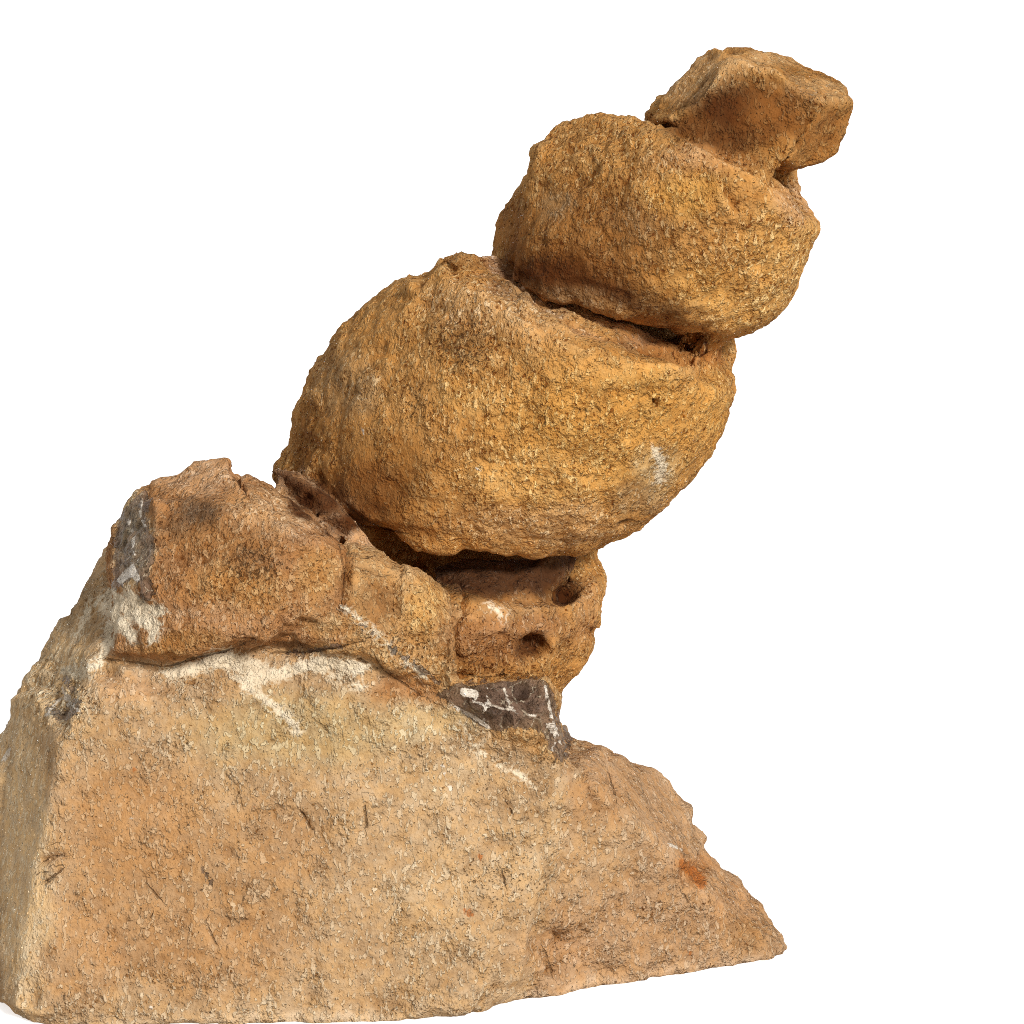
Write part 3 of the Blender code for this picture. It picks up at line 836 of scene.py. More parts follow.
def coil_mesh(sizes, stone):
    """The whorls as a closed mesh, in metres."""
    axis, outward, backward = axis_frame()
    values = {
        "Whorl ratio": sizes.whorl_ratio, "Below tip": TURN_ZERO_BELOW_TIP,
        "Radius per height": sizes.slimness, "Inner side": sizes.hollow_axis,
        "First turn": FIRST_TURN, "Last turn": LAST_TURN, "Tip": CONE_TIP, "Axis": axis,
        "Outward": outward, "Backward": backward, "Stone": stone,
    }  # fmt: skip
    obj = new_object("whorls")
    data = grown(obj, coil_tree(), values)
    mesh = bmesh.new()
    mesh.from_mesh(data)
    bmesh.ops.recalc_face_normals(mesh, faces=mesh.faces)
    bpy.data.objects.remove(obj)
    return mesh


# --- The rocks and how all is fused ---------------------------------------------------------


def hull_mesh(corners):
    """The convex hull of a rock's corners, in metres."""
    mesh = bmesh.new()
    for corner in corners:
        mesh.verts.new(Vector(corner) * MM)
    hull = bmesh.ops.convex_hull(mesh, input=mesh.verts)
    inside = [piece for piece in hull["geom_interior"] if isinstance(piece, bmesh.types.BMVert)]
    bmesh.ops.delete(mesh, geom=inside, context="VERTS")
    bmesh.ops.recalc_face_normals(mesh, faces=mesh.faces)
    return mesh


def fused(obj, meshes, cell):
    """Puts all the meshes into the object and fuses them to one skin."""
    whole = bmesh.new()
    for mesh in meshes:
        mesh.to_mesh(obj.data)
        whole.from_mesh(obj.data)
    whole.to_mesh(obj.data)
    whole.free()
    modifier = obj.modifiers.new("Fuse", "REMESH")
    modifier.mode = "VOXEL"
    modifier.voxel_size = cell
    return as_mesh(obj)


def column(items, name, width, kind=np.float64):
    """One property of all items as rows."""
    found = np.empty(len(items) * width, kind)
    items.foreach_get(name, found)
    return found.reshape(-1, width)


def bodies_of(count, edges):
    """The number of the body that each point hangs together with."""
    label = np.arange(count)
    while True:
        low = np.minimum(label[edges[:, 0]], label[edges[:, 1]])
        new = label.copy()
        np.minimum.at(new, edges[:, 0], low)
        np.minimum.at(new, edges[:, 1], low)
        new = new[new]
        new = new[new]
        if (new == label).all():
            return label
        label = new


def keep_largest(data):
    """Removes what the fusing left inside the stone."""
    label = bodies_of(len(data.vertices), column(data.edges, "vertices", 2, np.int32))
    largest = np.bincount(label).argmax()
    mesh = bmesh.new()
    mesh.from_mesh(data)
    mesh.verts.ensure_lookup_table()
    inner = [mesh.verts[i] for i in np.flatnonzero(label != largest)]
    bmesh.ops.delete(mesh, geom=inner, context="VERTS")
    mesh.to_mesh(data)
    mesh.free()


def cut_base(data):
    """Cuts everything below z = 0 away and closes the cut, in triangles."""
    mesh = bmesh.new()
    mesh.from_mesh(data)
    whole = mesh.verts[:] + mesh.edges[:] + mesh.faces[:]
    cut = bmesh.ops.bisect_plane(
        mesh, geom=whole, dist=1e-7, plane_co=(0, 0, 0), plane_no=(0, 0, 1), clear_inner=True
    )
    rim = [piece for piece in cut["geom_cut"] if isinstance(piece, bmesh.types.BMEdge)]
    bmesh.ops.contextual_create(mesh, geom=rim)
    bmesh.ops.triangulate(mesh, faces=mesh.faces)
    mesh.to_mesh(data)
    mesh.free()


# --- The skin: what the marks need to know of each point ------------------------------------

EVEN_CELLS = 4  # rounds of evening that ease the fusing grid away
SOFT_SIGHT = 6  # rounds that soften the edge of what the front sees, while it is worked on
SOFT_SIGHT_LAST = 4  # and for the paint
SEEN_GAIN, SEEN_LOSS = 1.6, 0.15  # widen what is softened so, and drop its faint edge
RAY_START = 1.5  # millimetres off the skin, so that it doesn't hide itself
HIDDEN = 0.02  # a point that is seen or faces the eye less than this is left alone
SEEN = 0.4  # a crisp patch is painted only where the front sees more than this


class Skin:
    """The points of a mesh in millimetres, with their normals and how the front sees them."""

    def __init__(self, data):
        self.data = data
        self.points = column(data.vertices, "co", 3) / MM
        self.edges = column(data.edges, "vertices", 2, np.int32)
        count = len(self.points)
        self.degree = np.bincount(self.edges.ravel(), minlength=count).astype(float)
        self.normals = column(data.vertices, "normal", 3)

    def write(self):
        """Puts the points into the mesh and takes its new normals."""
        self.data.vertices.foreach_set("co", (self.points * MM).astype(np.float32).ravel())
        self.data.update()
        self.normals = column(self.data.vertices, "normal", 3)

    def spread(self, values, times):
        """Evens values out over neighbouring points."""
        first, second = self.edges[:, 0], self.edges[:, 1]
        count = len(self.points)
        values = np.array(values, float).reshape(count, -1)
        for _ in range(times):
            total = np.empty_like(values)
            for i in range(values.shape[1]):
                part = values[:, i]
                total[:, i] = np.bincount(first, part[second], count)
                total[:, i] += np.bincount(second, part[first], count)
            values = (values + total / self.degree[:, None]) / 2
        return values.squeeze()

    def push(self, heights):
        """Moves each point out along its normal."""
        self.points += self.normals * heights[:, None]

    def look(self, soften):
        """Finds each point's place on the sheet and how well the front sees it, 0 to 1."""
        away = self.points - EYE
        depth = away @ SIGHT
        half = SHEET_POINTS / 2
        self.places = np.stack(
            (half + SHEET_AWAY * away[:, 0] / depth,
             half - SHEET_AWAY * (away @ UPRIGHT) / depth), axis=1,
        )  # fmt: skip
        rays = -away / np.linalg.norm(away, axis=1)[:, None]
        facing = (self.normals * rays).sum(axis=1)
        polygons = [tuple(p.vertices) for p in self.data.polygons]
        tree = BVHTree.FromPolygons([tuple(p) for p in self.points], polygons)
        seen = np.zeros(len(self.points))
        starts = self.points + rays * RAY_START
        for i in np.flatnonzero(facing > HIDDEN):
            if tree.ray_cast(starts[i].tolist(), rays[i].tolist())[0] is None:
                seen[i] = 1.0
        self.seen = np.clip(self.spread(seen, soften) * SEEN_GAIN - SEEN_LOSS, 0, 1)


def smooth_step(values, low, high):
    share = np.clip((values - low) / (high - low), 0, 1)
    return share * share * (3 - 2 * share)


def nearness(points, place, reach):
    """1 at the place, 0 from its reach on."""
    return np.clip(1 - ((points - place) ** 2).sum(axis=1) / reach**2, 0, 1)


def near(skin, line, reach):
    """The points of the skin that may lie within reach of a line on the sheet."""
    line = np.array(line, float)
    low, high = line.min(axis=0) - reach, line.max(axis=0) + reach
    inside = ((skin.places > low) & (skin.places < high)).all(axis=1)
    return np.flatnonzero(inside & (skin.seen > HIDDEN))


def from_line(places, line):
    """Distance of places from a line, and on which side they lie (-1: on its left hand)."""
    best = np.full(len(places), np.inf)
    side = np.zeros(len(places))
    for start, end in zip(line, line[1:]):
        start, run = np.array(start, float), np.subtract(end, start, dtype=float)
        share = np.clip((places - start) @ run / (run @ run), 0, 1)
        gap = places - start - share[:, None] * run
        distance = np.hypot(gap[:, 0], gap[:, 1])
        closer = distance < best
        cross = run[0] * gap[:, 1] - run[1] * gap[:, 0]
        side[closer] = np.where(cross[closer] < 0, -1.0, 1.0)
        best = np.minimum(best, distance)
    return best, side


def in_outline(places, outline):
    """Distance of places from an outline, above zero inside it."""
    distance, _ = from_line(places, (*outline, outline[0]))
    inside = np.zeros(len(places), bool)
    x, y = places[:, 0], places[:, 1]
    for (x0, y0), (x1, y1) in zip(outline, (*outline[1:], outline[0])):
        crosses = (y0 > y) != (y1 > y)
        with np.errstate(divide="ignore", invalid="ignore"):
            inside ^= crosses & (x < (x1 - x0) * (y - y0) / (y1 - y0) + x0)
    return np.where(inside, distance, -distance)


def oval(skin, x, y, half_width, half_height, margin=1.0):
    """(points near an oval on the sheet, their distance from its middle as a share)."""
    reach = max(half_width, half_height) * margin
    found = near(skin, ((x, y),), reach)
    gap = (skin.places[found] - (x, y)) / (half_width, half_height)
    return found, np.hypot(gap[:, 0], gap[:, 1])


# --- Relief ---------------------------------------------------------------------------------

SWELL_SIZE, SWELL_HEIGHT = 14.0, 0.9
LUMP_SIZE, LUMP_HEIGHT = 4.2, 0.50
KNOB_SIZE, KNOB_HEIGHT = 1.7, 0.36
CHIPS = 260
COIL_CHIPS = 0.25  # chance of a chip on the coil, beside one on the rock
CHIP_SEED = 7
CHIP_REACH = (3.0, 9.0)
CHIP_TILT = 0.10
CHIP_DEPTH = 0.10
CHIP_SHARE = 0.85  # how much of what stands above its plane a chip takes
FILL_ROUNDS = 90
FACET_EDGE = (-6, 4)  # sheet points inside its outline between which a facet sets in
FACET_DEPTH = (6, 9)  # millimetres off its plane between which it no longer acts
FACET_POINTS = 20
STEP_EDGE = 2.5


def fractal(points, size, octaves, offset=0.0):
    """Fractal noise at each point, about -1 to 1."""
    shift = Vector((offset, offset, offset))
    return np.array(
        [noise.fractal(Vector(p) / size + shift, 1.0, 2.0, octaves) for p in points.tolist()]
    )


def raise_lumps(skin):
    """The bulges and dents that the solid has too."""
    for place, reach, height in LUMPS:
        skin.push(height * nearness(skin.points, place, reach) ** 2)
        skin.write()


def chip(skin, weight):
    """Shaves flat facets where the rock broke."""
    rng = np.random.default_rng(CHIP_SEED)
    chances = weight / weight.sum()
    for centre in rng.choice(len(skin.points), CHIPS, p=chances):
        reach = rng.uniform(*CHIP_REACH)
        gap = skin.points - skin.points[centre]
        distance = (gap**2).sum(axis=1)
        found = np.flatnonzero(distance < reach**2)
        normal = skin.normals[found].mean(axis=0) + rng.normal(0, CHIP_TILT, 3)
        normal /= np.linalg.norm(normal)
        height = gap[found] @ normal
        plane = height.mean() - CHIP_DEPTH
        above = np.clip(height - plane, 0, None)
        fade = 1 - smooth_step(np.sqrt(distance[found]) / reach, 0.7, 1.0)
        skin.points[found] -= normal * (above * fade * CHIP_SHARE * weight[found])[:, None]


def flatten(skin, share, outline):
    """Turns a face on the front into a flat facet."""
    found = near(skin, outline, -FACET_EDGE[0])
    inside = in_outline(skin.places[found], outline)
    core = found[(inside > 0) & (skin.seen[found] > 0.5)]
    if len(core) < FACET_POINTS:
        raise RuntimeError(f"the facet at {outline[0]} isn't seen from the front")
    middle = np.median(skin.points[core], axis=0)
    _, _, axes = np.linalg.svd(skin.points[core] - middle, full_matrices=False)
    height = (skin.points[found] - middle) @ axes[2]
    fade = smooth_step(inside, *FACET_EDGE) * skin.seen[found]
    fade = fade * (1 - smooth_step(abs(height), *FACET_DEPTH))
    skin.points[found] -= axes[2] * (height * fade * share)[:, None]


def fill(skin):
    """Fills undercuts, by easing the skin out round them."""
    share = np.zeros(len(skin.points))
    for place, reach in FILLED:
        share = np.maximum(share, nearness(skin.points, place, reach))
    share = smooth_step(share, 0.0, 0.5)[:, None]
    for _ in range(FILL_ROUNDS):
        skin.points += share * (skin.spread(skin.points, 1) - skin.points)


def fit_outline(skin):
    """Moves parts of the stone along the sheet, so that the outline is right."""
    for x, y, reach, right, down in MOVES:
        share = nearness(skin.places, (x, y), reach) ** 2
        found = np.flatnonzero(share)
        depth = (skin.points[found] - EYE) @ SIGHT
        move = np.array((right, 0.0, 0.0)) - down * UPRIGHT
        skin.points[found] += (share[found] * depth / SHEET_AWAY)[:, None] * move


def mark_relief(skin):
    """Raises and cuts the ridges, grooves, steps and hollows of the front."""
    lift = np.zeros(len(skin.points))
    for half_width, height, line in LINES:
        found = near(skin, line, half_width)
        distance, _ = from_line(skin.places[found], line)
        lift[found] += height * np.clip(1 - (distance / half_width) ** 2, 0, 1) ** 2
    for height, reach, line in STEPS:
        found = near(skin, line, reach)
        distance, side = from_line(skin.places[found], line)
        fade = np.clip(1 - distance / reach, 0, 1) ** 1.5
        lift[found] += height * fade * smooth_step(-distance * side, -STEP_EDGE, STEP_EDGE)
    for x, y, half_width, half_height, depth in DENTS:
        found, gap = oval(skin, x, y, half_width, half_height, 1.2)
        lift[found] -= depth * (1 - smooth_step(gap, 0.55, 1.15))
    skin.push(lift * skin.seen)


def weather(skin, relief, on_rock):
    """The whole relief, from broad swells to knobs."""
    fill(skin)
    skin.write()
    raise_lumps(skin)
    skin.push(SWELL_HEIGHT * fractal(skin.points, SWELL_SIZE, 2))
    skin.write()
    skin.look(SOFT_SIGHT)
    fit_outline(skin)
    chip(skin, COIL_CHIPS + (1 - COIL_CHIPS) * on_rock)
    skin.write()
    skin.look(SOFT_SIGHT)
    for share, outline in FACETS:
        flatten(skin, share, outline)
    mark_relief(skin)
    skin.write()
    rough = roughness(skin)
    lumps = fractal(skin.points, LUMP_SIZE, 3, 31.0)
    knobs = fractal(skin.points, KNOB_SIZE, 3, 57.0)
    skin.push(relief * rough * (LUMP_HEIGHT * lumps + KNOB_HEIGHT * knobs))
    skin.write()


def roughness(skin):
    """How rough each point is beside the rest of the stone."""
    rough = np.ones(len(skin.points))
    for x, y, reach, share in ROUGHER:
        found, gap = oval(skin, x, y, reach, reach)
        rough[found] += share * np.clip(1 - gap**2, 0, 1) * skin.seen[found]
    return rough


# --- What each point of the finished stone is painted with ----------------------------------

KIN_REACH = 20 * MM
KIN_BLEND = 3  # rounds that soften the edge between two rocks
HOLLOW_BLEND = 12  # rounds that even the stone out, to see what lies below that
TINT_MARGIN, SOOT_MARGIN = 1.25, 1.2  # how far soft ovals reach beyond their sizes
SOOT_ALL_OVER = 0.12
CRUMBLY, LESS_CRUMBLY = 1.15, 0.35  # roughness of the coil, and how much less the block has
PATCH_FAR = -3.0  # millimetres outside a patch from which all is the same
CRACK_FAR = 3.0  # millimetres from any crack, where none is near
TINT_WOBBLE = 9.0  # size in millimetres, and sheet points that it bends a tint's edge by
CRACK_FADE = (9, 15)  # sheet points from a crack between which it is forgotten


def kin(skin, meshes):
    """How much each point belongs to each of the named meshes, evened out."""
    gaps = []
    for mesh in meshes.values():
        tree = BVHTree.FromBMesh(mesh)
        found = [tree.find_nearest(Vector(p) * MM, KIN_REACH)[3] for p in skin.points.tolist()]
        gaps.append([KIN_REACH if gap is None else gap for gap in found])
    nearest = np.argmin(np.array(gaps), axis=0)
    shares = np.eye(len(meshes))[nearest]
    return dict(zip(meshes, skin.spread(shares, KIN_BLEND).T))


def hollowness(skin):
    """How far each point lies below its surroundings, in millimetres."""
    even = skin.spread(skin.points, HOLLOW_BLEND)
    return ((even - skin.points) * skin.normals).sum(axis=1)


def store(data, name, values, kind="FLOAT"):
    """Keeps one value for each point under a name."""
    layer = data.attributes.new(name, kind, "POINT")
    values = np.asarray(values, np.float32)
    layer.data.foreach_set("color" if kind == "FLOAT_COLOR" else "value", values.ravel())


def tinted(skin, shares):
    """The soft colour of each point, with the shade and light that some tints paint."""
    count = len(skin.points)
    colour = np.zeros((count, 3))
    for name, share in shares.items():
        colour += share[:, None] * np.array(TONES[BASE_TONES[name]])
    bends = [fractal(skin.points, TINT_WOBBLE, 3, offset) for offset in (3.0, 77.0)]
    places = skin.places
    skin.places = places + np.stack(bends, axis=1) * TINT_WOBBLE
    for tone, strength, x, y, half_width, half_height in TINTS:
        found, gap = oval(skin, x, y, half_width * TINT_MARGIN, half_height * TINT_MARGIN)
        share = strength * (1 - smooth_step(gap, 0.35, 1.0)) * skin.seen[found]
        colour[found] += share[:, None] * (np.array(TONES[tone]) - colour[found])
    skin.places = places
    return colour


def patch_values(skin, outlines, lines):
    """Millimetres inside the nearest of these patches, below zero outside."""
    values = np.full(len(skin.points), PATCH_FAR)
    margin = -PATCH_FAR / POINT
    for outline in outlines:
        found = near(skin, outline, margin)
        inside = in_outline(skin.places[found], outline) * POINT
        values[found] = np.maximum(values[found], inside)
    for half_width, line in lines:
        found = near(skin, line, margin + half_width)
        inside = (half_width - from_line(skin.places[found], line)[0]) * POINT
        values[found] = np.maximum(values[found], inside)
    return PATCH_FAR + (values - PATCH_FAR) * (skin.seen > SEEN)


def crack_values(skin, lines):
    """The signed distance from the nearest crack, and how near it is, 0 to 1."""
    across = np.full(len(skin.points), CRACK_FAR)
    close = np.zeros(len(skin.points))
    for line in lines:
        found = near(skin, line, CRACK_FADE[1] + 1)
        distance, side = from_line(skin.places[found], line)
        here = 1 - smooth_step(distance, *CRACK_FADE)
        better = here > close[found]
        across[found[better]] = (distance * side * POINT)[better]
        close[found[better]] = here[better]
    return across, close * (skin.seen > SEEN)


def paint(skin, shares):
    """Stores what the stone's material reads."""
    colour = tinted(skin, shares)
    store(skin.data, "tint", np.hstack((colour, np.ones((len(colour), 1)))), "FLOAT_COLOR")
    store(skin.data, "on_coil", sum(shares[name] for name in COIL_PARTS))
    # how far each point lies below its surroundings; the material paints shade in hollows and
    # light on crests from it
    store(skin.data, "hollow", hollowness(skin))
    plain = shares["block"] + shares["toe"]
    store(skin.data, "rough", roughness(skin) * (CRUMBLY - LESS_CRUMBLY * plain))
    soot = SOOT_ALL_OVER * (1 - plain)
    for x, y, half_width, half_height, share in SOOTY:
        found, gap = oval(skin, x, y, half_width * SOOT_MARGIN, half_height * SOOT_MARGIN)
        here = share * (1 - smooth_step(gap, 0.3, 1.0)) * skin.seen[found]
        soot[found] = np.maximum(soot[found], here)
    store(skin.data, "soot", soot)
    for name, (outlines, lines) in PATCHES.items():
        store(skin.data, name, patch_values(skin, outlines, lines))
    across, close = crack_values(skin, CRACKS)
    store(skin.data, "crack_across", across)
    store(skin.data, "crack_close", close)


# --- Materials ------------------------------------------------------------------------------

# What the tint is multiplied by, on the rock and on the coil
DARKER = ((0.52, 0.40, 0.26), (0.46, 0.31, 0.15))
LIGHTER = ((1.30, 1.42, 1.62), (1.38, 1.52, 1.85))
POWDER = ((1.40, 1.68, 2.1), (1.55, 1.95, 2.8))
DEEP = ((0.46, 0.31, 0.17), (0.38, 0.20, 0.07))
# and in cool and in warm places
WARMTH = ((0.985, 1.01, 1.06), (1.04, 0.975, 0.86))
SHEEN = (0.25, 1.5)  # the darkest and lightest splinters, beside the shell's colour
DULL_RUST = 0.42  # the darkest rust, beside the rust's colour
GLOSS = 0.15
BUMP = 1.0 * MM


def stone_material(name, look, grains=False):
    """Weathered sandy limestone, coloured by what the skin stores."""
    material = bpy.data.materials.new(name)
    material.use_nodes = True
    tree = material.node_tree
    surface = tree.nodes["Principled BSDF"]
    spot = add_node(tree, "ShaderNodeTexCoord", None, None, "Object").vector(
        "SCALE", scale=1 / MM
    )
    plain = (1.0, 1.0, 1.0)

    def grainy(size, detail, roughness, shift, output=0, squash=1.0):
        place = spot.vector("ADD", (shift, shift, shift))
        if squash != 1.0:
            place = place.vector("MULTIPLY", (1.0, 1.0, squash))
        return place.node(
            "ShaderNodeTexNoise", None,
            {"Vector": place, "Scale": 1 / size, "Detail": detail, "Roughness": roughness},
            output,
        )  # fmt: skip

    wobble = grainy(0.9, 2.0, 0.6, 7.0, "Color").vector("SUBTRACT", (0.5, 0.5, 0.5))
    bent = spot.vector("ADD", wobble.vector("SCALE", scale=1.3))

    def cells(size, shift, feature="F1"):
        place = bent.vector("ADD", (shift, shift, shift))
        return place.node(
            "ShaderNodeTexVoronoi", {"feature": feature}, {"Vector": place, "Scale": 1 / size},
            "Distance",
        )  # fmt: skip

    def stored(title, output="Fac"):
        return add_node(tree, "ShaderNodeAttribute", {"attribute_name": title}, None, output)

    tint, on_coil, rough = stored("tint", "Color"), stored("on_coil"), stored("rough")
    fine = grainy(0.6, 3.0, 0.7, 0.0, squash=0.6)
    grit = grainy(1.1, 3.0, 0.6, 40.0)
    blotch = grainy(4.6, 4.0, 0.62, 90.0)
    cloud = grainy(17.0, 3.0, 0.55, 130.0)
    sand = cells(0.78, 0.0)
    sand_pick = sand.beside("Color")
    stones = cells(1.7, 11.0)
    stone_pick = stones.beside("Color")

    # Crumbly places are full of small pits and flecks, worn ones are smooth.
    crumb = (grainy(5.5, 4.0, 0.65, 600.0) + (rough - 1) * 0.16).step(0.43, 0.60)
    pit = grainy(0.62, 2.0, 0.6, 300.0, squash=0.75) + (1 - crumb) * 0.11
    pit = 1 - (pit - stored("soot") * 0.03 - on_coil * 0.02).step(0.34, 0.38)
    fleck = grainy(0.78, 2.0, 0.6, 200.0, squash=0.5) - (1 - crumb) * 0.015 - on_coil * 0.02
    fleck = fleck.step(0.545, 0.59)

    # Light and dark, about 0.5
    tone = (fine - 0.5) * (0.45 + crumb * 0.55) + (grit - 0.5) * (0.3 + crumb * 0.4)
    tone = tone + 0.45 + (blotch - 0.5) * 0.6 + (cloud - 0.5) * 0.5
    # Painted shade in hollows and painted light on crests
    tone = tone - stored("hollow") * 0.32
    if grains:
        tone = tone + stored("grain_tone") * 0.45
    tone = ((tone - 0.5) * look.contrast + 0.5).clamped()
    darker = on_coil.mixed(*DARKER)
    lighter = on_coil.mixed(*LIGHTER)
    shade = darker.blend(plain, (tone * 2).clamped())
    shade = shade.blend(lighter, (tone * 2 - 1).clamped())
    warmth = (grainy(2.3, 3.0, 0.6, 500.0) + (blotch - 0.5) * 0.6).step(0.36, 0.64)
    colour = tint.vector("MULTIPLY", shade)
    colour = colour.vector("MULTIPLY", warmth.mixed(*WARMTH))

    # Pale and dark grains, and pits.
    pale = sand_pick.part(1).step(0.965, 0.975) * (1 - sand.step(0.22, 0.42))
    pale = pale.most(stone_pick.part(0).step(0.975, 0.985) * (1 - stones.step(0.15, 0.3)))
    powder = tint.vector("MULTIPLY", on_coil.mixed(*POWDER))
    colour = colour.blend(powder, (pale + fleck * (0.5 + crumb * 0.3)).clamped())
    deep = tint.vector("MULTIPLY", on_coil.mixed(*DEEP))
    colour = colour.blend(deep, pit * 0.85)
    sooty = grainy(0.55, 2.5, 0.62, 330.0) - stored("soot") * 0.13
    sooty = 1 - sooty.step(0.27, 0.33)
    colour = colour.blend(tuple(look.pit_colour), sooty * 0.7)
    speck = pit.most(sooty)

    # Patches with a ragged edge: crushed lime, dark shell in splinters, calcite and rust.
    ragged = (grit - 0.5) * 2.2 + (fine - 0.5) * 0.9
    lit = shade.blend(plain, 0.5)
    in_cream = stored("cream")
    crushed = 1 - cells(2.9, 80.0, "DISTANCE_TO_EDGE").step(0.02, 0.085)
    crushed = crushed * (in_cream + ragged * 0.5).step(-1.3, 0.1) * 0.8
    cream = (in_cream + ragged * 0.9).step(-0.25, 0.35).most(crushed)
    colour = colour.blend(lit.vector("MULTIPLY", tuple(look.cream_colour)), cream * 0.9)

    splinters = cells(2.6, 50.0)
    splinter_pick = splinters.beside("Color")
    seams = 1 - cells(2.6, 50.0, "DISTANCE_TO_EDGE").step(0.01, 0.05)
    seams = seams * grainy(1.7, 2.0, 0.6, 400.0).step(0.48, 0.6)
    shell = (stored("shell") + ragged * 1.1).step(-0.1, 0.2)
    sheen = (splinter_pick.part(0) * 0.8 + (grit - 0.5) * 2.0 + 0.1).clamped()
    dark, light = (tuple(k * c for c in look.shell_colour) for k in SHEEN)
    fragment = sheen.mixed(dark, light)
    fragment = fragment.blend(tuple(look.cream_colour), seams * 0.5)
    fragment = fragment.blend(colour, 0.2)
    colour = colour.blend(fragment, shell)

    calcite = (stored("calcite") + ragged * 0.30).step(-0.06, 0.10)
    colour = colour.blend(
        lit.vector("MULTIPLY", tuple(look.calcite_colour)), calcite * 0.85
    )
    rust = (stored("rust") + ragged * 0.9).step(-0.15, 0.2)
    rusty = (sand_pick.part(0) + (grit - 0.5) * 2).clamped()
    rusty = rusty.mixed(tuple(DULL_RUST * c for c in look.rust_colour), tuple(look.rust_colour))
    colour = colour.blend(rusty, rust * 0.75)

    width = 0.07 + (grit - 0.5) * 0.9
    crack = 1 - (stored("crack_across").maths("ABSOLUTE") - width).step(-0.03, 0.12)
    crack = crack * stored("crack_close")
    colour = colour.blend(tuple(look.pit_colour), crack * 0.55)
    tree.links.new(colour.socket, surface.inputs["Base Color"])

    gloss = shell * (1 - seams) * (0.35 + splinter_pick.part(1) * 0.35)
    dull = 0.93 + (grit - 0.5) * 0.12 - gloss - calcite * 0.25
    tree.links.new(dull.clamped().socket, surface.inputs["Roughness"])
    surface.inputs["Specular IOR Level"].default_value = GLOSS

    height = fine * (0.35 + crumb * 0.55) + grit * (0.35 + crumb * 0.5) + blotch * 0.5
    height = height * (1 - shell * 0.5)
    height = height + pale.most(fleck) * 0.22 - speck * 0.30 - crack * 0.3
    height = height + shell * (splinter_pick.part(2) * 0.30 + seams * 0.12) + calcite * 0.08
    bump = height.node(
        "ShaderNodeBump", None, {"Strength": 1.0, "Distance": BUMP, "Height": height}
    )
    tree.links.new(bump.socket, surface.inputs["Normal"])
    return material


# --- Grains ---------------------------------------------------------------------------------

ON_BASE = -0.9  # a face that looks down more than this carries no grains
BURIED = 0.3  # how deep a grain sits, as a share of its size
GRAIN_SHAPES = ((0.6, 0.6, 0.45), (1.35, 1.0, 0.8))
ANY_TURN = ((0.0, 0.0, 0.0), (2 * pi, 2 * pi, 2 * pi))


def grain_tree():
    """Half-buried grains strewn over a skin, each with its own turn, shape and tone."""
    inputs = {"Density": "Float", "Smallest": "Float", "Largest": "Float", "Seed": "Int",
              "Lightness": "Float", "Stone": "Material"}  # fmt: skip
    tree, given = geometry_tree("Grains", inputs)
    skin = given["Geometry"]
    normal = skin.node("GeometryNodeInputNormal")
    open_side = normal.vector("DOT_PRODUCT", (0.0, 0.0, 1.0)).maths("GREATER_THAN", ON_BASE)
    strewn = skin.node(
        "GeometryNodeDistributePointsOnFaces", {"distribute_method": "RANDOM"},
        {"Mesh": skin, "Density": given["Density"], "Seed": given["Seed"],
         "Selection": open_side},
    )  # fmt: skip

    def chance(kind, low, high, seed):
        slots = {"FLOAT": (2, 3, 1), "FLOAT_VECTOR": (0, 1, 0)}[kind]
        return skin.node(
            "FunctionNodeRandomValue", {"data_type": kind},
            {slots[0]: low, slots[1]: high, "Seed": seed}, slots[2],
        )  # fmt: skip

    toned = skin.node(
        "GeometryNodeStoreNamedAttribute", {"data_type": "FLOAT", "domain": "POINT"},
        {"Geometry": strewn, "Name": "grain_tone",
         "Value": chance("FLOAT", -1.0, 1.0, 5) + given["Lightness"]},
    )  # fmt: skip
    ball = add_node(tree, "GeometryNodeMeshIcoSphere", None, {"Radius": 1.0, "Subdivisions": 1})
    share = chance("FLOAT", 0.0, 1.0, 6)
    size = given["Smallest"] + (given["Largest"] - given["Smallest"]) * share * share
    toned = skin.node(
        "GeometryNodeSetPosition", None,
        {"Geometry": toned,
         "Offset": strewn.beside("Normal").vector("SCALE", scale=size * -BURIED)},
    )  # fmt: skip
    shape = chance("FLOAT_VECTOR", *GRAIN_SHAPES, 7)
    placed = skin.node(
        "GeometryNodeInstanceOnPoints", None,
        {"Points": toned, "Instance": ball,
         "Rotation": chance("FLOAT_VECTOR", *ANY_TURN, 8),
         "Scale": shape.vector("SCALE", scale=size)},
    )  # fmt: skip
    end_tree(placed, given["Stone"])
    return tree


# --- Operators ------------------------------------------------------------------------------


def finish_piece(obj, material):
    """Keeps a piece inside the solid's box and gives it its finish and body."""
    low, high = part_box(NODE)
    points = column(obj.data.vertices, "co", 3)
    points = np.clip(points, np.array(low), np.array(high))
    obj.data.vertices.foreach_set("co", points.astype(np.float32).ravel())
    obj.data.update()
    obj.data.materials.clear()
    obj.data.materials.append(material)
    obj.data.shade_smooth()
    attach(obj, "root")


class FOSSIL_OT_stone(bpy.types.Operator):
    """Build the whorls and the block as one weathered stone"""

    bl_idname = "fossil.stone"
    bl_label = "Stone"

    def execute(self, context):
        scene = context.scene
        look = scene.fossil_stone
        material = stone_material("weathered_stone", look)
        meshes = {"coil": coil_mesh(scene.fossil_coil, material)}
        meshes |= {name: hull_mesh(corners) for name, corners in ROCKS.items()}
        obj = new_object("fossil_stone")
        data = fused(obj, meshes.values(), look.cell)
        keep_largest(data)
        skin = Skin(data)
        skin.points = skin.spread(skin.points, EVEN_CELLS)
        skin.write()
        on_rock = 1 - kin(skin, meshes)["coil"]
        weather(skin, look.relief, on_rock)
        cut_base(data)
        modifier = obj.modifiers.new("Thin", "DECIMATE")
        modifier.ratio = look.faces / len(data.polygons)
        data = as_mesh(obj)
        skin = Skin(data)
        skin.look(SOFT_SIGHT_LAST)
        paint(skin, kin(skin, meshes))
        for mesh in meshes.values():
            mesh.free()
        finish_piece(obj, material)
        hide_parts(NODE)
        return {"FINISHED"}


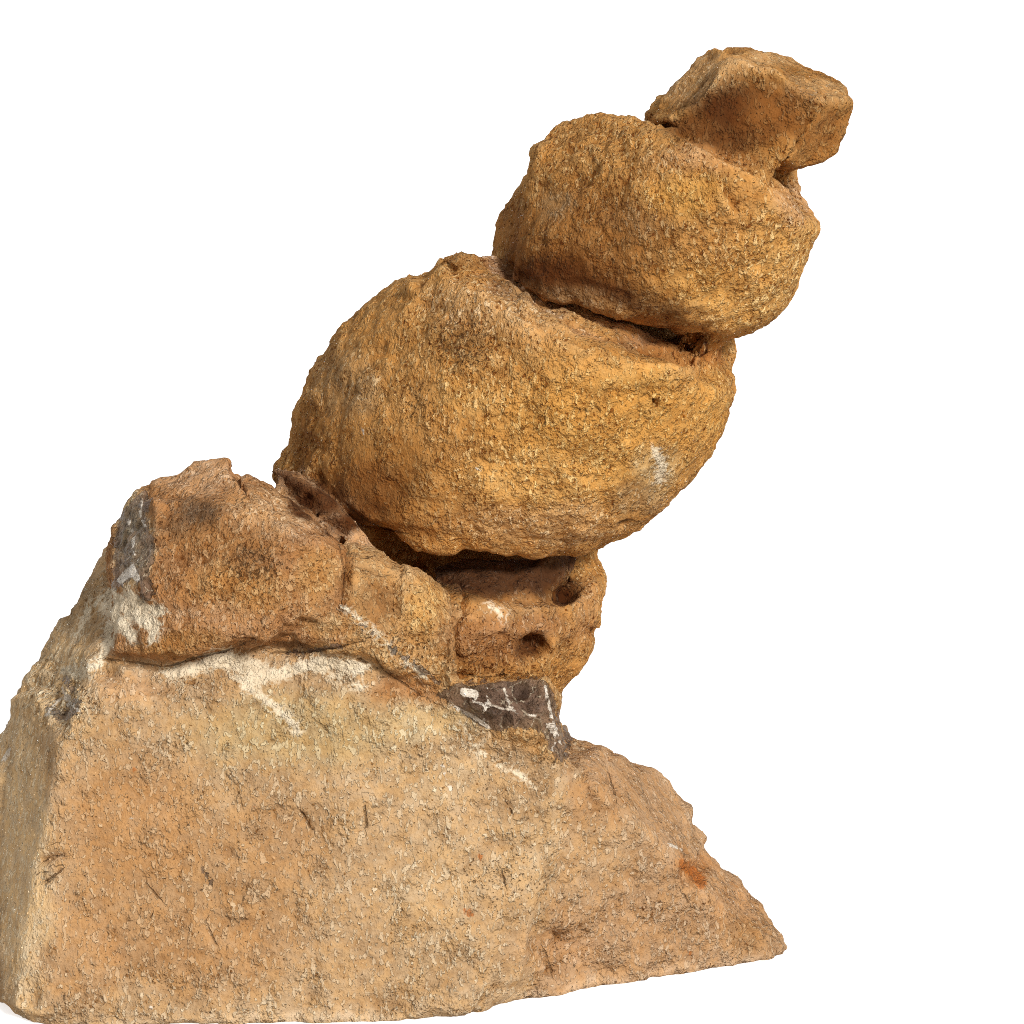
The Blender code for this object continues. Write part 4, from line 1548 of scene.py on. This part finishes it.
class FOSSIL_OT_grains(bpy.types.Operator):
    """Strew half-buried grains over the stone"""

    bl_idname = "fossil.grains"
    bl_label = "Grains"

    # name, seed, lightness, share of the count, share of the size
    KINDS = (
        ("stone_grains", 3, 0.0, 1.0, 1.0),
        ("pale_grains", 11, 1.1, 0.8, 0.8),
        ("dark_grains", 29, -0.9, 0.6, 0.75),
    )

    def execute(self, context):
        stone = bpy.data.objects.get("fossil_stone")
        if stone is None:
            raise RuntimeError("the grains lie on the stone, which has to be built first")
        sizes = context.scene.fossil_grains
        material = stone_material("strewn_grains", context.scene.fossil_stone, grains=True)
        area = sum(face.area for face in stone.data.polygons)
        tree = grain_tree()
        for name, seed, lightness, share, scale in self.KINDS:
            obj = new_object(name, stone.data.copy())
            grown(obj, tree, {
                "Density": sizes.count * share / area, "Smallest": sizes.smallest * scale,
                "Largest": sizes.largest * scale, "Seed": seed, "Lightness": lightness,
                "Stone": material,
            })  # fmt: skip
            finish_piece(obj, material)
        return {"FINISHED"}


# The floor from its middle out, in metres: (radius, height)
FLOOR_PROFILE = (
    (0.0, 0.0), (1.6, 0.0), (2.0, 0.03), (2.4, 0.16), (2.7, 0.42), (2.85, 0.9), (2.9, 1.6),
)  # fmt: skip
FLOOR_SIDES = 96
FLOOR_GLOW = 0.6  # as white as the pale ground behind the floor's rim
KEY_FROM = (0.46, -0.75, 0.45)
KEY_SPREAD = radians(9)
KEY_COLOUR = (1.0, 0.975, 0.94)
SKY_BELOW, SKY_ABOVE = (0.88, 0.74, 0.60), (1.0, 1.0, 1.0)


class FOSSIL_OT_stage(bpy.types.Operator):
    """Set the floor, the lights and the camera"""

    bl_idname = "fossil.stage"
    bl_label = "Stage"

    def execute(self, context):
        scene = context.scene
        look = scene.fossil_stage
        self.floor(look)
        self.lights(scene, look)
        camera = bpy.data.cameras.new("front_view")
        camera.sensor_width = SENSOR
        camera.lens = LENS
        camera.clip_start, camera.clip_end = 0.01, 50.0
        viewer = new_object("front_view", camera)
        viewer.location = Vector(EYE) * MM
        viewer.rotation_euler = (pi / 2 - VIEW_DOWN, 0, 0)
        scene.camera = viewer
        scene.view_settings.view_transform = "Standard"
        scene.cycles.use_denoising = False  # it wipes out pits and grains the size of a pixel
        scene.cycles.filter_width = 1.0
        return {"FINISHED"}

    def floor(self, look):
        """A round floor whose far rim bends up."""
        mesh = bmesh.new()
        centre = mesh.verts.new((0, 0, 0))
        turns = [2 * pi * i / FLOOR_SIDES for i in range(FLOOR_SIDES)]
        rings = [
            [mesh.verts.new((r * cos(turn), r * sin(turn), z)) for turn in turns]
            for r, z in FLOOR_PROFILE[1:]
        ]
        for i in range(FLOOR_SIDES):
            j = (i + 1) % FLOOR_SIDES
            mesh.faces.new((centre, rings[0][i], rings[0][j]))
            for ring, outer in zip(rings, rings[1:]):
                mesh.faces.new((ring[i], outer[i], outer[j], ring[j]))
        floor = new_object("pale_floor")
        mesh.to_mesh(floor.data)
        mesh.free()
        floor.data.shade_smooth()
        material = bpy.data.materials.new("pale_floor")
        material.use_nodes = True
        surface = material.node_tree.nodes["Principled BSDF"]
        looks = {
            "Base Color": (*look.floor_colour, 1.0),
            "Roughness": 0.9,
            "Specular IOR Level": 0.1,
            "Emission Color": (1.0, 1.0, 1.0, 1.0),
            "Emission Strength": FLOOR_GLOW,
        }
        for name, value in looks.items():
            surface.inputs[name].default_value = value
        material.cycles.emission_sampling = "NONE"
        floor.data.materials.append(material)
        floor.visible_diffuse = floor.visible_shadow = False

    def lights(self, scene, look):
        key = bpy.data.lights.new("key_light", "SUN")
        key.energy = look.key_strength
        key.angle = KEY_SPREAD
        key.color = KEY_COLOUR
        lamp = new_object("key_light", key)
        lamp.rotation_euler = Vector(KEY_FROM).to_track_quat("Z", "Y").to_euler()
        world = bpy.data.worlds.new("soft_sky")
        world.use_nodes = True
        tree = world.node_tree
        sky = tree.nodes["Background"]
        up = add_node(tree, "ShaderNodeTexCoord", None, None, "Generated").vector(
            "DOT_PRODUCT", (0.0, 0.0, 1.0)
        )
        shade = up.step(-0.6, 0.3).mixed(SKY_BELOW, SKY_ABOVE)
        tree.links.new(shade.socket, sky.inputs["Color"])
        sky.inputs["Strength"].default_value = look.sky_strength
        scene.world = world


# --- The add-on -----------------------------------------------------------------------------


class FOSSIL_PT_panel(bpy.types.Panel):
    """Settings and steps, in the 3D view's sidebar"""

    bl_idname = "FOSSIL_PT_panel"
    bl_label = "Turret snail fossil"
    bl_space_type = "VIEW_3D"
    bl_region_type = "UI"
    bl_category = "Fossil"

    def draw(self, context):
        groups = {
            "fossil_coil": (), "fossil_stone": ("fossil.stone",),
            "fossil_grains": ("fossil.grains",), "fossil_stage": ("fossil.stage",),
        }  # fmt: skip
        for name, steps in groups.items():
            box = self.layout.box()
            group = getattr(context.scene, name)
            for title in group.__annotations__:
                box.prop(group, title)
            for step in steps:
                box.operator(step)


SETTINGS = {
    "fossil_coil": CoilSizes,
    "fossil_stone": StoneFinish,
    "fossil_grains": GrainSizes,
    "fossil_stage": StageLook,
}
OPERATORS = (FOSSIL_OT_stone, FOSSIL_OT_grains, FOSSIL_OT_stage)
CLASSES = (*SETTINGS.values(), *OPERATORS, FOSSIL_PT_panel)


def register():
    for each in CLASSES:
        bpy.utils.register_class(each)
    for name, group in SETTINGS.items():
        setattr(bpy.types.Scene, name, bpy.props.PointerProperty(type=group))


def unregister():
    for name in SETTINGS:
        delattr(bpy.types.Scene, name)
    for each in reversed(CLASSES):
        bpy.utils.unregister_class(each)


def main():
    register()
    bpy.ops.fossil.stage()
    bpy.ops.fossil.stone()
    bpy.ops.fossil.grains()


if __name__ == "__main__":
    main()
